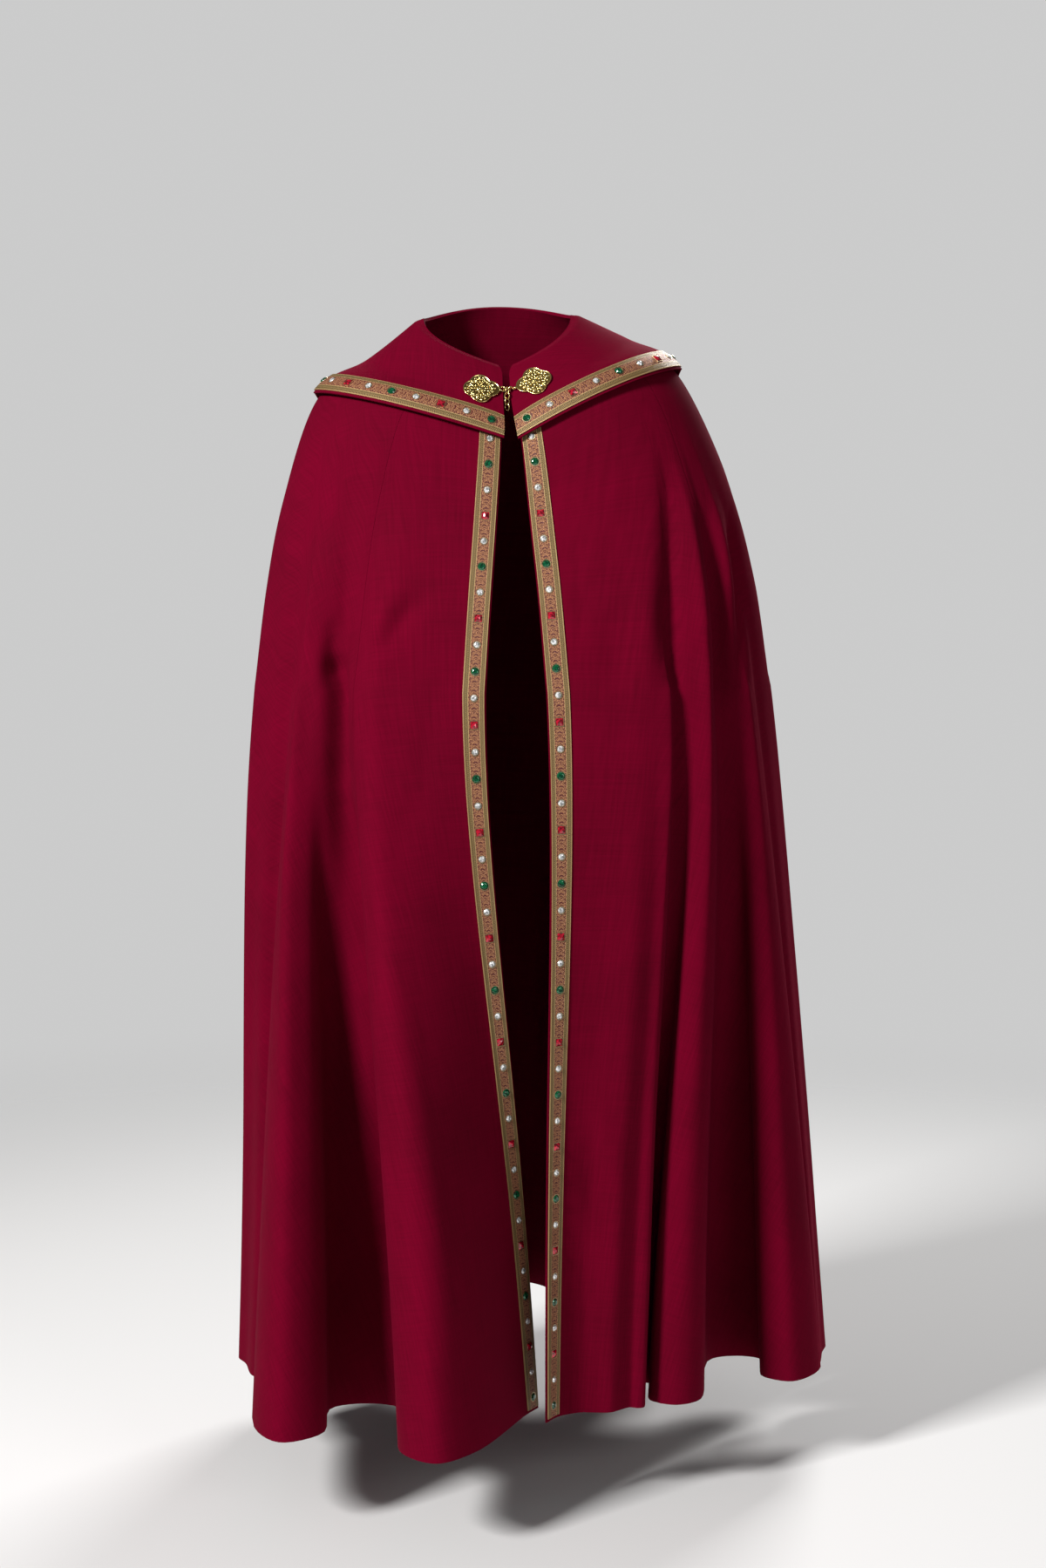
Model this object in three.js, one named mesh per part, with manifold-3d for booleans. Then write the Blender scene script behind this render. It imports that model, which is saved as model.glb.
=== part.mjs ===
// A worn cope in millimetres, +Z up, the front facing -Y and the wearer's right at -X.
// The origin lies between the shoulders at the height of the neck's sides.
import * as THREE from 'three';
import { mergeVertices } from 'three/addons/utils/BufferGeometryUtils.js';
import Module from 'manifold-3d';

const wasm = await Module();
wasm.setup();

// Cloth and trimming
const clothWall = 2;
const seamGap = 0.3;
const waistZ = -480;
const hemZ = -1405;
const hemFlare = 0.15;
const waistCarry = 0.6;
const edgeLip = 2;

const bandWidth = 27;
const bandWall = 1.4;
const bandLift = 0.3;
const bandTopLevel = 0.35;
const bandHemGap = 4;

const collarWall = 2.2;
const collarNeckLift = 0.3;
const collarBodyLift = 3.4;
const collarEdgeLift = 7;
const collarRiseEnd = 0.1;
const collarFlareStart = 0.3;
const collarFrontLevel = 1.96;
const collarBackDrop = 0.85;
const collarOverhang = 4.5;
const collarLip = 3;
const collarColumns = 40;

// Stones on the bands
const stonePitch = 33.5;
const stoneHeight = 3;
const stoneSink = 0.7;
const frontStones = 37;
const frontStoneStart = 15;
const collarStoneStart = 17;
const stoneKinds = table(
  ['name', 'sides', 'foot', 'crown'],
  [
    ['green', 6, 6.2, 3.6],
    ['clear', 6, 5.1, 2.8],
    ['red', 4, 8.0, 4.4],
    ['clear', 6, 5.1, 2.8],
  ],
);

// Clasp and chain
const plateThick = 1.8;
const plateReach = 22.4;
const plateTipReach = 25;
const plateWaist = 18.4;
const lobeSoftness = 1.1;
const plateSteps = 36;
const bossRadius = 6.5;
const bossHeight = 2.4;
const pitRadius = 2;
const pitDepth = 2;
const knobRadius = 4;
const knobTopRadius = 2;
const knobHeight = 1.6;
const lobeKnobOut = 15;
const flankKnobOut = 11;
const raisedSink = 0.3;
const plateLift = 0.9;
const seatSpan = 0.35;
const claspWire = 0.85;
const eyeRadius = 3.4;
const eyeSink = 0.4;
const ringRadius = 4.6;
const hookRadius = 2.6;
const hookSweep = 250;
const hookStep = 25;
const hookRootSink = 2;
const wireSides = 6;
const linkWire = 0.85;
const linkTall = 4.5;
const linkWide = 3.7;
const linkTurns = [62, -38, 48, -42];
const chainGap = 0.45;
const claspSeats = table(
  ['name', 'place', 'level', 'tilt'],
  [
    ['right', 0.0222, 0.88, 4],
    ['left', 0.9695, 0.81, 196],
  ],
);

// The garment's sections from the neck down to the waist. The edge columns belong to the two
// front edges, and the others to the sides over the arms and to the middle of the back.
const sections = table(
  ['name', 'edgeZ', 'rightZ', 'leftZ', 'backZ', 'rightEdgeX', 'leftEdgeX', 'edgeY',
    'rightX', 'leftX', 'sideY', 'backY', 'square', 'drop'],
  [
    ['neck', -70, -7, -3, 14, 1, 20, -64, -95, 95, 4, 78, 2.0, 0.5],
    ['midCollar', -118, -64, -38, -58, 3, 24, -97, -167, 169, 8, 112, 2.1, 0.9],
    ['collarEdge', -168, -110, -80, -150, 4, 33, -124, -235, 236, 10, 138, 2.3, 1.35],
    ['upperArm', -262, -240, -218, -262, -1, 43, -150, -281, 303, 12, 160, 2.4, 1.3],
    ['lowerArm', -365, -356, -346, -365, -8, 54, -185, -306, 339, 13, 175, 2.4, 1],
    ['waist', waistZ, waistZ, waistZ, waistZ, -15, 64, -211, -322, 357, 14, 188, 2.4, 1],
  ],
);
const collarEdgeLevel = 2;
const waistLevel = sections.length - 1;
const hemLevel = sections.length;

// The crests and valleys of the folds, from the wearer's right front edge round the back to
// the left one. At the hem each is a bend with a tip at x, y that faces a compass heading
// (0 is the front, 90 the wearer's right), half as wide as half and as deep as deep, which is
// below zero in a valley. top and waist are its places round the body, and out its push there.
const folds = table(
  ['name', 'x', 'y', 'face', 'half', 'deep', 'top', 'waist', 'out'],
  [
    ['frontCrest', -72, -378, 0, 45, 40, 0.05, 0.06, 12],
    ['frontValley', -168, -148, 0, 44, -18, 0.105, 0.1, -26],
    ['armCrest', -266, -301, 8, 42, 40, 0.135, 0.124, 12],
    ['armValley', -319, -45, 75, 22, -6, 0.17, 0.152, -14],
    ['sideCrest', -355, 52, 88, 30, 12, 0.215, 0.2, 2],
    ['valley1', -217, 105, 104, 24, -22, 0.262, 0.262, -10],
    ['crest1', -306, 242, 120, 42, 36, 0.29, 0.3, 8],
    ['valley2', -132, 217, 135, 26, -22, 0.335, 0.345, -12],
    ['crest2', -164, 387, 149, 44, 38, 0.385, 0.395, 8],
    ['valley3', -30, 284, 163, 26, -22, 0.44, 0.445, -12],
    ['crest3', 24, 434, 177, 44, 36, 0.495, 0.495, 8],
    ['valley4', 94, 290, 191, 26, -22, 0.55, 0.545, -12],
    ['crest4', 225, 408, 206, 44, 38, 0.605, 0.595, 8],
    ['valley5', 209, 229, 221, 26, -22, 0.655, 0.645, -12],
    ['crest5', 389, 272, 236, 42, 36, 0.7, 0.69, 8],
    ['valley6', 307, 125, 252, 24, -22, 0.738, 0.735, -10],
    ['leftSideCrest', 452, 108, 268, 32, 8, 0.79, 0.775, 2],
    ['leftNotch', 433, 20, 275, 8, -4, 0.827, 0.819, -4],
    ['leftArmCrest', 388, -57, 356, 34, 26, 0.84, 0.842, 6],
    ['leftArmValley', 322, 57, 0, 34, -14, 0.856, 0.868, -18],
    ['leftFrontCrest', 230, -154, 0, 32, 20, 0.872, 0.893, 8],
    ['leftRecess', 196, -62, 0, 6, -8, 0.885, 0.914, -16],
    ['leftPanelEnd', 180, -167, 0, 9, 3, 0.9, 0.925, 3],
    ['leftPanel', 125, -184, 0, 20, 0, 0.945, 0.96, 0],
  ],
);
const edgesAtHem = table(
  ['name', 'x', 'y', 'towardX', 'towardY'],
  [
    ['right', 52, -167, 35, -198],
    ['left', 64, -224, 79, -200],
  ],
);
const stationsPerFold = 3;
const leadStations = 2;
const wideCrest = 20;
const stationCount = folds.length * stationsPerFold + 2 * leadStations;
const rightSeamAfter = 'frontCrest';
const leftSeamAfter = 'leftArmValley';

const bodyLevels = [0, 0.4, 1, 1.6, 2.2, 2.8, 3.4, 4, 4.5, 5, 5.17, 5.34, 5.5, 5.67, 5.84, 6];

// Rows of values with the names of their columns
function table(columns, rows) {
  return rows.map((row) => Object.fromEntries(columns.map((name, i) => [name, row[i]])));
}

function radians(degrees) {
  return degrees * Math.PI / 180;
}

function smooth(from, to, value) {
  return THREE.MathUtils.smoothstep(value, from, to);
}

// A heading on the plan: 0 faces the front and 90 the wearer's right
function heading(degrees) {
  const turn = radians(degrees);
  return new THREE.Vector3(-Math.sin(turn), -Math.cos(turn), 0);
}

function blend(a, b, c, d, t) {
  return 0.5 * (2 * b + (c - a) * t + (2 * a - 5 * b + 4 * c - d) * t * t
    + (3 * b - a - 3 * c + d) * t * t * t);
}

// A smooth curve through a list of numbers, at a place t along the list
function curveThrough(list, t) {
  const last = list.length - 1;
  const i = THREE.MathUtils.clamp(Math.floor(t), 0, last - 1);
  const at = (k) => list[THREE.MathUtils.clamp(k, 0, last)];
  return blend(at(i - 1), at(i), at(i + 1), at(i + 2), t - i);
}

const sectionCurves = Object.fromEntries(
  Object.keys(sections[0]).slice(1).map((name) => [name, sections.map((row) => row[name])]),
);

function sectionAt(level) {
  const entries = Object.entries(sectionCurves);
  return Object.fromEntries(entries.map(([name, list]) => [name, curveThrough(list, level)]));
}

// A point of the garment without folds: place runs from 0 at the wearer's right front edge
// through 0.25 on the right arm, 0.5 at the back and 0.75 on the left arm to 1
function drape(place, level) {
  const row = sectionAt(level);
  const right = place <= 0.5;
  const half = right ? place * 2 : (1 - place) * 2;
  const sideX = right ? row.rightX : row.leftX;
  const sideZ = right ? row.rightZ : row.leftZ;
  const edgeX = right ? row.rightEdgeX : row.leftEdgeX;
  const power = 2 / row.square;
  if (half < 0.5) {
    const turn = Math.max(half, 0) * Math.PI;
    const across = Math.sin(turn) ** power;
    const along = Math.cos(turn) ** power;
    return new THREE.Vector3(
      edgeX + (sideX - edgeX) * across,
      row.sideY + (row.edgeY - row.sideY) * along,
      sideZ + (row.edgeZ - sideZ) * (1 - across) ** row.drop,
    );
  }
  const turn = (half - 0.5) * Math.PI;
  return new THREE.Vector3(
    sideX * Math.max(Math.cos(turn), 0) ** power,
    row.sideY + (row.backY - row.sideY) * Math.sin(turn) ** power,
    sideZ + (row.backZ - sideZ) * Math.sin(turn) ** 2,
  );
}

// The place round the body that lies one band's width from a front edge
function bandPlace(right, level) {
  const edge = drape(right ? 0 : 1, level);
  let near = 0;
  let far = 0.25;
  for (let i = 0; i < 30; i += 1) {
    const middle = (near + far) / 2;
    const point = drape(right ? middle : 1 - middle, level);
    if (point.distanceTo(edge) < bandWidth) {
      near = middle;
    } else {
      far = middle;
    }
  }
  return right ? near : 1 - near;
}

// Each fold gives three stations at the hem: a shoulder, the tip and a shoulder
function hemStations() {
  const ends = edgesAtHem.map((edge) => {
    const start = new THREE.Vector3(edge.x, edge.y, 0);
    const along = new THREE.Vector3(edge.towardX - edge.x, edge.towardY - edge.y, 0);
    return [start, start.clone().addScaledVector(along.normalize(), bandWidth)];
  });
  const bends = folds.flatMap((fold) => {
    const out = heading(fold.face);
    const along = heading(fold.face + 90);
    const tip = new THREE.Vector3(fold.x, fold.y, 0);
    const base = tip.clone().addScaledVector(out, -fold.deep);
    return [
      base.clone().addScaledVector(along, -fold.half),
      tip,
      base.clone().addScaledVector(along, fold.half),
    ];
  });
  return [...ends[0], ...bends, ...ends[1].reverse()];
}

// A fold's value at its tip, and between tips a third of the way to the neighbour's
function stationValues(first, column, last) {
  const tips = [first, ...folds.map((fold) => fold[column]), last];
  const values = [];
  for (let i = 1; i < tips.length - 1; i += 1) {
    values.push(tips[i] + (tips[i - 1] - tips[i]) / 3, tips[i], tips[i] + (tips[i + 1] - tips[i]) / 3);
  }
  return values;
}

function upperStations(level) {
  const share = smooth(collarEdgeLevel, waistLevel, level);
  const lead = [bandPlace(true, level), bandPlace(false, level)];
  const tops = stationValues(lead[0], 'top', lead[1]);
  const waists = stationValues(lead[0], 'waist', lead[1]);
  const pushes = stationValues(0, 'out', 0);
  const inner = tops.map((top, i) => {
    const point = drape(top + (waists[i] - top) * share, level);
    const outward = new THREE.Vector3(point.x, point.y, 0).normalize();
    return point.addScaledVector(outward, pushes[i] * share ** 1.5);
  });
  return [drape(0, level), drape(lead[0], level), ...inner, drape(lead[1], level), drape(1, level)];
}

// Below the waist each station hangs in a line to its place at the hem, and leaves the waist
// in the direction that it had above it
const waistStations = upperStations(waistLevel);
const aboveWaist = upperStations(waistLevel - 0.1);
const hemPoints = hemStations();

function lowerStations(level) {
  const t = level - waistLevel;
  const height = hemZ - waistZ;
  return waistStations.map((start, i) => {
    const step = start.clone().sub(aboveWaist[i]);
    const slope = step.multiplyScalar(height / Math.min(step.z, -1));
    const span = hemPoints[i].clone().sub(start);
    const ease = t * (1 + hemFlare * (1 - t));
    const carry = waistCarry * t * (1 - t) ** 3;
    const early = slope.addScaledVector(span, -(1 + hemFlare)).multiplyScalar(carry);
    const point = start.clone().addScaledVector(span, ease).add(early);
    point.z = waistZ + height * t;
    return point;
  });
}

const knownLevels = new Map();

function curveAt(level) {
  if (!knownLevels.has(level)) {
    const stations = level <= waistLevel ? upperStations(level) : lowerStations(level);
    knownLevels.set(level, new THREE.CatmullRomCurve3(stations, false, 'centripetal'));
  }
  return knownLevels.get(level);
}

// A point of the cloth's outer face: station counts round the garment, level goes down it
function cloth(station, level) {
  return curveAt(level).getPoint(station / (stationCount - 1));
}

function normalOf(surface, u, v, uRange, vRange, uStep, vStep) {
  const across = surface(Math.min(u + uStep, uRange[1]), v)
    .sub(surface(Math.max(u - uStep, uRange[0]), v));
  const down = surface(u, Math.min(v + vStep, vRange[1]))
    .sub(surface(u, Math.max(v - vStep, vRange[0])));
  return across.cross(down).normalize();
}

function clothNormal(station, level) {
  return normalOf(cloth, station, level, [0, stationCount - 1], [0, hemLevel], 0.12, 0.04);
}

// A closed wall from a grid of { point, normal }, rows going down and columns going round
function wall(grid, outer, thickness) {
  const rows = grid.length;
  const columns = grid[0].length;
  const positions = [];
  for (const depth of [outer, outer - thickness]) {
    for (const row of grid) {
      for (const { point, normal } of row) {
        positions.push(...point.clone().addScaledVector(normal, depth).toArray());
      }
    }
  }
  const index = [];
  const inner = rows * columns;
  const quad = (a, b, c, d) => index.push(a, b, c, a, c, d);
  for (let r = 0; r < rows - 1; r += 1) {
    for (let c = 0; c < columns - 1; c += 1) {
      const a = r * columns + c;
      const d = a + columns;
      quad(a, a + 1, d + 1, d);
      quad(inner + a, inner + d, inner + d + 1, inner + a + 1);
    }
  }
  for (let c = 0; c < columns - 1; c += 1) {
    const low = (rows - 1) * columns + c;
    quad(c, inner + c, inner + c + 1, c + 1);
    quad(low, low + 1, inner + low + 1, inner + low);
  }
  for (let r = 0; r < rows - 1; r += 1) {
    const a = r * columns;
    const b = a + columns - 1;
    quad(a, a + columns, inner + a + columns, inner + a);
    quad(b, inner + b, inner + b + columns, b + columns);
  }
  const geometry = new THREE.BufferGeometry();
  geometry.setAttribute('position', new THREE.Float32BufferAttribute(positions, 3));
  geometry.setIndex(index);
  return geometry;
}

function toSolid(geometry) {
  const bare = geometry.clone();
  bare.deleteAttribute('normal');
  bare.deleteAttribute('uv');
  const merged = mergeVertices(bare, 1e-4);
  return new wasm.Manifold(new wasm.Mesh({
    numProp: 3,
    vertProperties: Float32Array.from(merged.attributes.position.array),
    triVerts: Uint32Array.from(merged.index.array),
  }));
}

function toGeometry(solid) {
  const mesh = solid.getMesh();
  const geometry = new THREE.BufferGeometry();
  geometry.setAttribute('position', new THREE.BufferAttribute(mesh.vertProperties, 3));
  geometry.setIndex(new THREE.BufferAttribute(mesh.triVerts, 1));
  return geometry;
}

function joined(geometries) {
  return toGeometry(geometries.map(toSolid).reduce((whole, piece) => whole.add(piece)));
}

// Stations where a panel of the body has its columns, with more of them round a wide crest
function stationsBetween(start, end) {
  const list = [];
  for (let s = Math.ceil(start); s <= end; s += 1) {
    const fold = folds[Math.floor((s - leadStations) / stationsPerFold)];
    const inBend = (s - leadStations) % stationsPerFold !== stationsPerFold - 1;
    const besideLead = s === 1 || s === stationCount - leadStations - 1;
    list.push(s);
    if (besideLead || (inBend && fold && fold.deep >= wideCrest)) {
      list.push(s + 0.5);
    }
  }
  return list.filter((s) => s > start && s < end);
}

function seamAfter(name) {
  const i = folds.findIndex((fold) => fold.name === name);
  return leadStations + (i + 1) * stationsPerFold - 0.5;
}

const rightSeam = seamAfter(rightSeamAfter);
const leftSeam = seamAfter(leftSeamAfter);
const lastStation = stationCount - 1;

// One row of a panel, with the columns at its ends drawn back from a seam or out to a lip
function bodyRow(stations, level, startShift, endShift) {
  const row = stations.map((s) => ({ point: cloth(s, level), normal: clothNormal(s, level) }));
  const shift = (cell, toward, length) => {
    const along = toward.point.clone().sub(cell.point).normalize();
    return { point: cell.point.clone().addScaledVector(along, length), normal: cell.normal };
  };
  const first = shift(row[0], row[1], startShift);
  const last = shift(row[row.length - 1], row[row.length - 2], endShift);
  const start = startShift < 0 ? [first, row[0]] : [first];
  const end = endShift < 0 ? [row[row.length - 1], last] : [last];
  return [...start, ...row.slice(1, -1), ...end];
}

function bodyPanel(start, end, startShift, endShift) {
  const columns = [start, ...stationsBetween(start, end), end];
  const grid = bodyLevels.map((level) => bodyRow(columns, level, startShift, endShift));
  return wall(grid, 0, clothWall);
}

const bandStations = [0, 1];

// A front band takes the body's own points, moved out, from under the collar to the hem
function bandGrid(right) {
  const last = bodyLevels.length - 1;
  const hemShare = bandHemGap / ((hemLevel - bodyLevels[last - 1]) * (waistZ - hemZ));
  const rows = bodyLevels.filter((level) => level >= bandTopLevel).map((level) => {
    const row = bandStations.map((s) => (right ? s : lastStation - s));
    return row.map((s) => ({ point: cloth(s, level), normal: clothNormal(s, level) }));
  });
  const hemRow = rows[rows.length - 1];
  const above = rows[rows.length - 2];
  rows[rows.length - 1] = hemRow.map((cell, i) => between(cell, above[i], hemShare));
  return right ? rows : rows.map((row) => row.reverse());
}

function stone(kind, point, normal, along) {
  const geometry = new THREE.CylinderGeometry(
    kind.crown, kind.foot, stoneHeight + stoneSink, kind.sides, 1, false,
    kind.sides === 4 ? Math.PI / 4 : 0,
  );
  geometry.translate(0, (stoneHeight - stoneSink) / 2, 0);
  const across = along.clone().cross(normal).normalize();
  const frame = new THREE.Matrix4().makeBasis(across, normal, across.clone().cross(normal));
  return geometry.applyMatrix4(frame.setPosition(point));
}

// Stones along a line of { point, normal } at an even pitch, their kinds taken in turn
function stonesAlong(line, height, start, count, firstKind) {
  const stones = [];
  let walked = 0;
  let wanted = start;
  for (let i = 0; i < line.length - 1 && stones.length < count; i += 1) {
    const a = line[i].point.clone().addScaledVector(line[i].normal, height);
    const b = line[i + 1].point.clone().addScaledVector(line[i + 1].normal, height);
    const along = b.clone().sub(a);
    const length = along.length();
    along.normalize();
    while (wanted < walked + length && stones.length < count) {
      const t = (wanted - walked) / length;
      const normal = line[i].normal.clone().lerp(line[i + 1].normal, t);
      normal.addScaledVector(along, -normal.dot(along)).normalize();
      const kind = stoneKinds[(firstKind + stones.length) % stoneKinds.length];
      stones.push(stone(kind, a.clone().lerp(b, t), normal, along));
      wanted += stonePitch;
    }
    walked += length;
  }
  return stones;
}

function between(a, b, share) {
  return {
    point: a.point.clone().lerp(b.point, share),
    normal: a.normal.clone().lerp(b.normal, share).normalize(),
  };
}

function frontBand(right) {
  const grid = bandGrid(right);
  const strip = wall(grid, bandLift + bandWall, bandWall);
  const centre = grid.flatMap((row, r) => {
    const middle = between(row[0], row[1], 0.5);
    const below = grid[r + 1];
    return below ? [middle, between(row[0], below[1], 0.5)] : [middle];
  }).reverse();
  const height = bandLift + bandWall;
  const stones = stonesAlong(centre, height, frontStoneStart, frontStones, 0);
  return joined([strip, ...stones]);
}

// The collar's lower edge, level with the front corners and lower at the back
function collarEdge(place) {
  const back = THREE.MathUtils.clamp(1 - Math.abs(place - 0.5) * 4, 0, 1);
  return collarFrontLevel + collarBackDrop * smooth(0, 1, back);
}

function collarNormal(place, level) {
  return normalOf(drape, place, level, [0, 1], [0, waistLevel], 0.006, 0.05);
}

// The level at a given distance above the collar's edge
function levelAbove(place, distance) {
  const edge = collarEdge(place);
  const foot = drape(place, edge);
  let near = 0;
  let far = edge;
  for (let i = 0; i < 30; i += 1) {
    const middle = (near + far) / 2;
    if (drape(place, middle).distanceTo(foot) > distance) {
      near = middle;
    } else {
      far = middle;
    }
  }
  return near;
}

function collarLift(place, level) {
  const share = level / collarEdge(place);
  const rise = (collarBodyLift - collarNeckLift) * smooth(0, collarRiseEnd, share);
  const flare = (collarEdgeLift - collarBodyLift) * smooth(collarFlareStart, 1, share);
  return collarWall + collarNeckLift + rise + flare;
}

function collarCell(place, level) {
  const normal = collarNormal(place, level);
  const lift = collarLift(place, level);
  return { point: drape(place, level).addScaledVector(normal, lift), normal };
}

// Rows of the collar: down from the neck, then the band's top, middle and bottom, then the lip
function collarColumn(place) {
  const bandTop = levelAbove(place, collarLip + bandWidth);
  const levels = [0, 0.06, 0.16, 0.4, 0.7].map((share) => share * bandTop);
  levels.push(bandTop, levelAbove(place, collarLip + bandWidth / 2));
  levels.push(levelAbove(place, collarLip), collarEdge(place));
  return levels.map((level) => collarCell(place, level));
}

function collarGrid() {
  const columns = [];
  for (let i = 0; i <= collarColumns; i += 1) {
    columns.push(collarColumn(i / collarColumns));
  }
  const overhang = (column, beside) => column.map((cell, r) => {
    const share = smooth(0, 2, r);
    const along = cell.point.clone().sub(beside[r].point).normalize();
    const length = collarOverhang * share;
    return { point: cell.point.clone().addScaledVector(along, length), normal: cell.normal };
  });
  columns[0] = overhang(columns[0], columns[1]);
  columns[collarColumns] = overhang(columns[collarColumns], columns[collarColumns - 1]);
  return columns[0].map((_, r) => columns.map((column) => column[r]));
}

const collar = collarGrid();

function collarBand() {
  const rows = collar.slice(-4, -1);
  const strip = wall(rows, bandLift + bandWall, bandWall);
  const centre = rows[1];
  const steps = centre.slice(1).map((cell, i) => cell.point.distanceTo(centre[i].point));
  const length = steps.reduce((sum, step) => sum + step, 0);
  const count = Math.floor((length - 2 * collarStoneStart) / stonePitch) + 1;
  const stones = stonesAlong(centre, bandLift + bandWall, collarStoneStart, count, 0);
  return joined([strip, ...stones]);
}

// A rounded lozenge: four soft lobes with slightly hollow sides, the lobe toward +X the longest
function plateOutline() {
  const points = [];
  for (let i = 0; i < plateSteps; i += 1) {
    const turn = i * 2 * Math.PI / plateSteps;
    const tip = Math.cos(turn) > Math.cos(Math.PI / 4);
    const share = Math.abs(Math.cos(2 * turn)) ** lobeSoftness;
    const length = plateWaist + ((tip ? plateTipReach : plateReach) - plateWaist) * share;
    points.push(new THREE.Vector2(length * Math.cos(turn), length * Math.sin(turn)));
  }
  return new THREE.Shape(points);
}

function disc(radius, topRadius, height, sides, x, y, z) {
  const geometry = new THREE.CylinderGeometry(topRadius, radius, height, sides);
  return geometry.rotateX(Math.PI / 2).translate(x, y, z + height / 2);
}

// A plate with a raised rim, a boss with a pit and knobs on its lobes and flanks
function plateSolid() {
  const extrude = { depth: plateThick, bevelEnabled: false, curveSegments: 1 };
  const plate = new THREE.ExtrudeGeometry(plateOutline(), extrude);
  const face = plateThick - raisedSink;
  const knobs = [0, 45, 90, 135, 180, 225, 270, 315].map((degrees) => {
    const turn = radians(degrees);
    const out = degrees % 90 ? flankKnobOut : lobeKnobOut;
    const [x, y] = [out * Math.cos(turn), out * Math.sin(turn)];
    return disc(knobRadius, knobTopRadius, knobHeight, 6, x, y, face);
  });
  const boss = disc(bossRadius, bossRadius - pitRadius, bossHeight, 12, 0, 0, face);
  const pit = disc(pitRadius, pitRadius, bossHeight, 8, 0, 0, face + bossHeight - pitDepth);
  const raised = [plate, ...knobs, boss].map(toSolid).reduce((whole, piece) => whole.add(piece));
  return raised.subtract(toSolid(pit));
}

// The frame of a clasp plate on the collar: X toward its pointed corner, Z out of the cloth
function plateFrame(seat) {
  const face = (place, level) => collarCell(place, level).point;
  const normal = normalOf(face, seat.place, seat.level, [0, 1], [0, waistLevel], 0.02, seatSpan);
  const point = face(seat.place, seat.level);
  const level = new THREE.Vector3(1, 0, 0);
  level.addScaledVector(normal, -normal.x).normalize();
  const up = normal.clone().cross(level);
  const turn = radians(seat.tilt);
  const along = level.clone().multiplyScalar(Math.cos(turn)).addScaledVector(up, Math.sin(turn));
  const frame = new THREE.Matrix4().makeBasis(along, normal.clone().cross(along), normal);
  return frame.setPosition(point.clone().addScaledVector(normal, plateLift));
}

const plateFrames = claspSeats.map(plateFrame);
const tipHeight = plateThick / 2;

function tipPoint(frame, beyond) {
  return new THREE.Vector3(plateTipReach + beyond, 0, tipHeight).applyMatrix4(frame);
}

// The eye is part of the right plate: a ring in the plate's own plane, sunk into its tip
const eyeOut = eyeRadius - eyeSink;

function rightPlate() {
  const eye = new THREE.TorusGeometry(eyeRadius, claspWire, wireSides, 14);
  eye.translate(plateTipReach + eyeOut, 0, tipHeight);
  return toGeometry(plateSolid().add(toSolid(eye))).applyMatrix4(plateFrames[0]);
}

// The loose ring lies level, through the eye at its right and round the hook at its left
const eyeCentre = tipPoint(plateFrames[0], eyeOut);
const ringStart = eyeCentre.clone();
ringStart.x += eyeRadius - 2 * claspWire - chainGap;
const ringCentre = ringStart.clone();
ringCentre.x += ringRadius;
const ringEnd = ringCentre.clone();
ringEnd.x += ringRadius;

function looseRing() {
  const ring = new THREE.TorusGeometry(ringRadius, claspWire, wireSides, 16);
  return ring.translate(...ringCentre.toArray());
}

function wire(points, radius) {
  const corners = [];
  for (let i = 0; i < wireSides; i += 1) {
    const turn = i * 2 * Math.PI / wireSides;
    corners.push(new THREE.Vector2(radius * Math.cos(turn), radius * Math.sin(turn)));
  }
  const extrudePath = new THREE.CatmullRomCurve3(points);
  const steps = 2 * points.length - 2;
  return new THREE.ExtrudeGeometry(new THREE.Shape(corners), { steps, extrudePath });
}

// The hook curls over the ring's left side in an upright plane, from the left plate's tip
function leftPlate() {
  const points = [tipPoint(plateFrames[1], -hookRootSink)];
  for (let degrees = 0; degrees <= hookSweep; degrees += hookStep) {
    const turn = radians(degrees);
    points.push(new THREE.Vector3(
      ringEnd.x + hookRadius * Math.cos(turn),
      ringEnd.y,
      ringEnd.z + hookRadius * Math.sin(turn),
    ));
  }
  const plate = toGeometry(plateSolid()).applyMatrix4(plateFrames[1]);
  return joined([plate, wire(points, claspWire)]);
}

// The tail hangs from the ring's front, each link round the foot of the one above
const tailTop = ringCentre.clone();
tailTop.y -= ringRadius;
const linkStep = 2 * linkTall - 2 * linkWire - chainGap;

function linkCentre(i) {
  const centre = tailTop.clone();
  centre.z -= linkTall - claspWire - linkWire - chainGap + i * linkStep;
  return centre;
}

// A round link drawn out into an oval, its wire kept round
function tailLink() {
  const link = new THREE.TorusGeometry(linkWide, linkWire, wireSides, 16);
  const positions = link.attributes.position;
  for (let i = 0; i < positions.count; i += 1) {
    const y = positions.getY(i);
    const share = THREE.MathUtils.clamp(y / linkWide, -1, 1);
    positions.setY(i, y + share * (linkTall - linkWide));
  }
  return link.rotateX(Math.PI / 2);
}

const crimson = { color: 0x8a052d, roughness: 0.85, metalness: 0 };
const galloonGold = { color: 0xb08a45, roughness: 0.5, metalness: 0.6 };
const polishedGold = { color: 0xd9b45a, roughness: 0.25, metalness: 1 };

const cope = new THREE.Group();

function addMesh(name, geometry, finish) {
  const mesh = new THREE.Mesh(geometry, new THREE.MeshStandardMaterial(finish));
  mesh.name = name;
  cope.add(mesh);
  return mesh;
}

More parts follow.
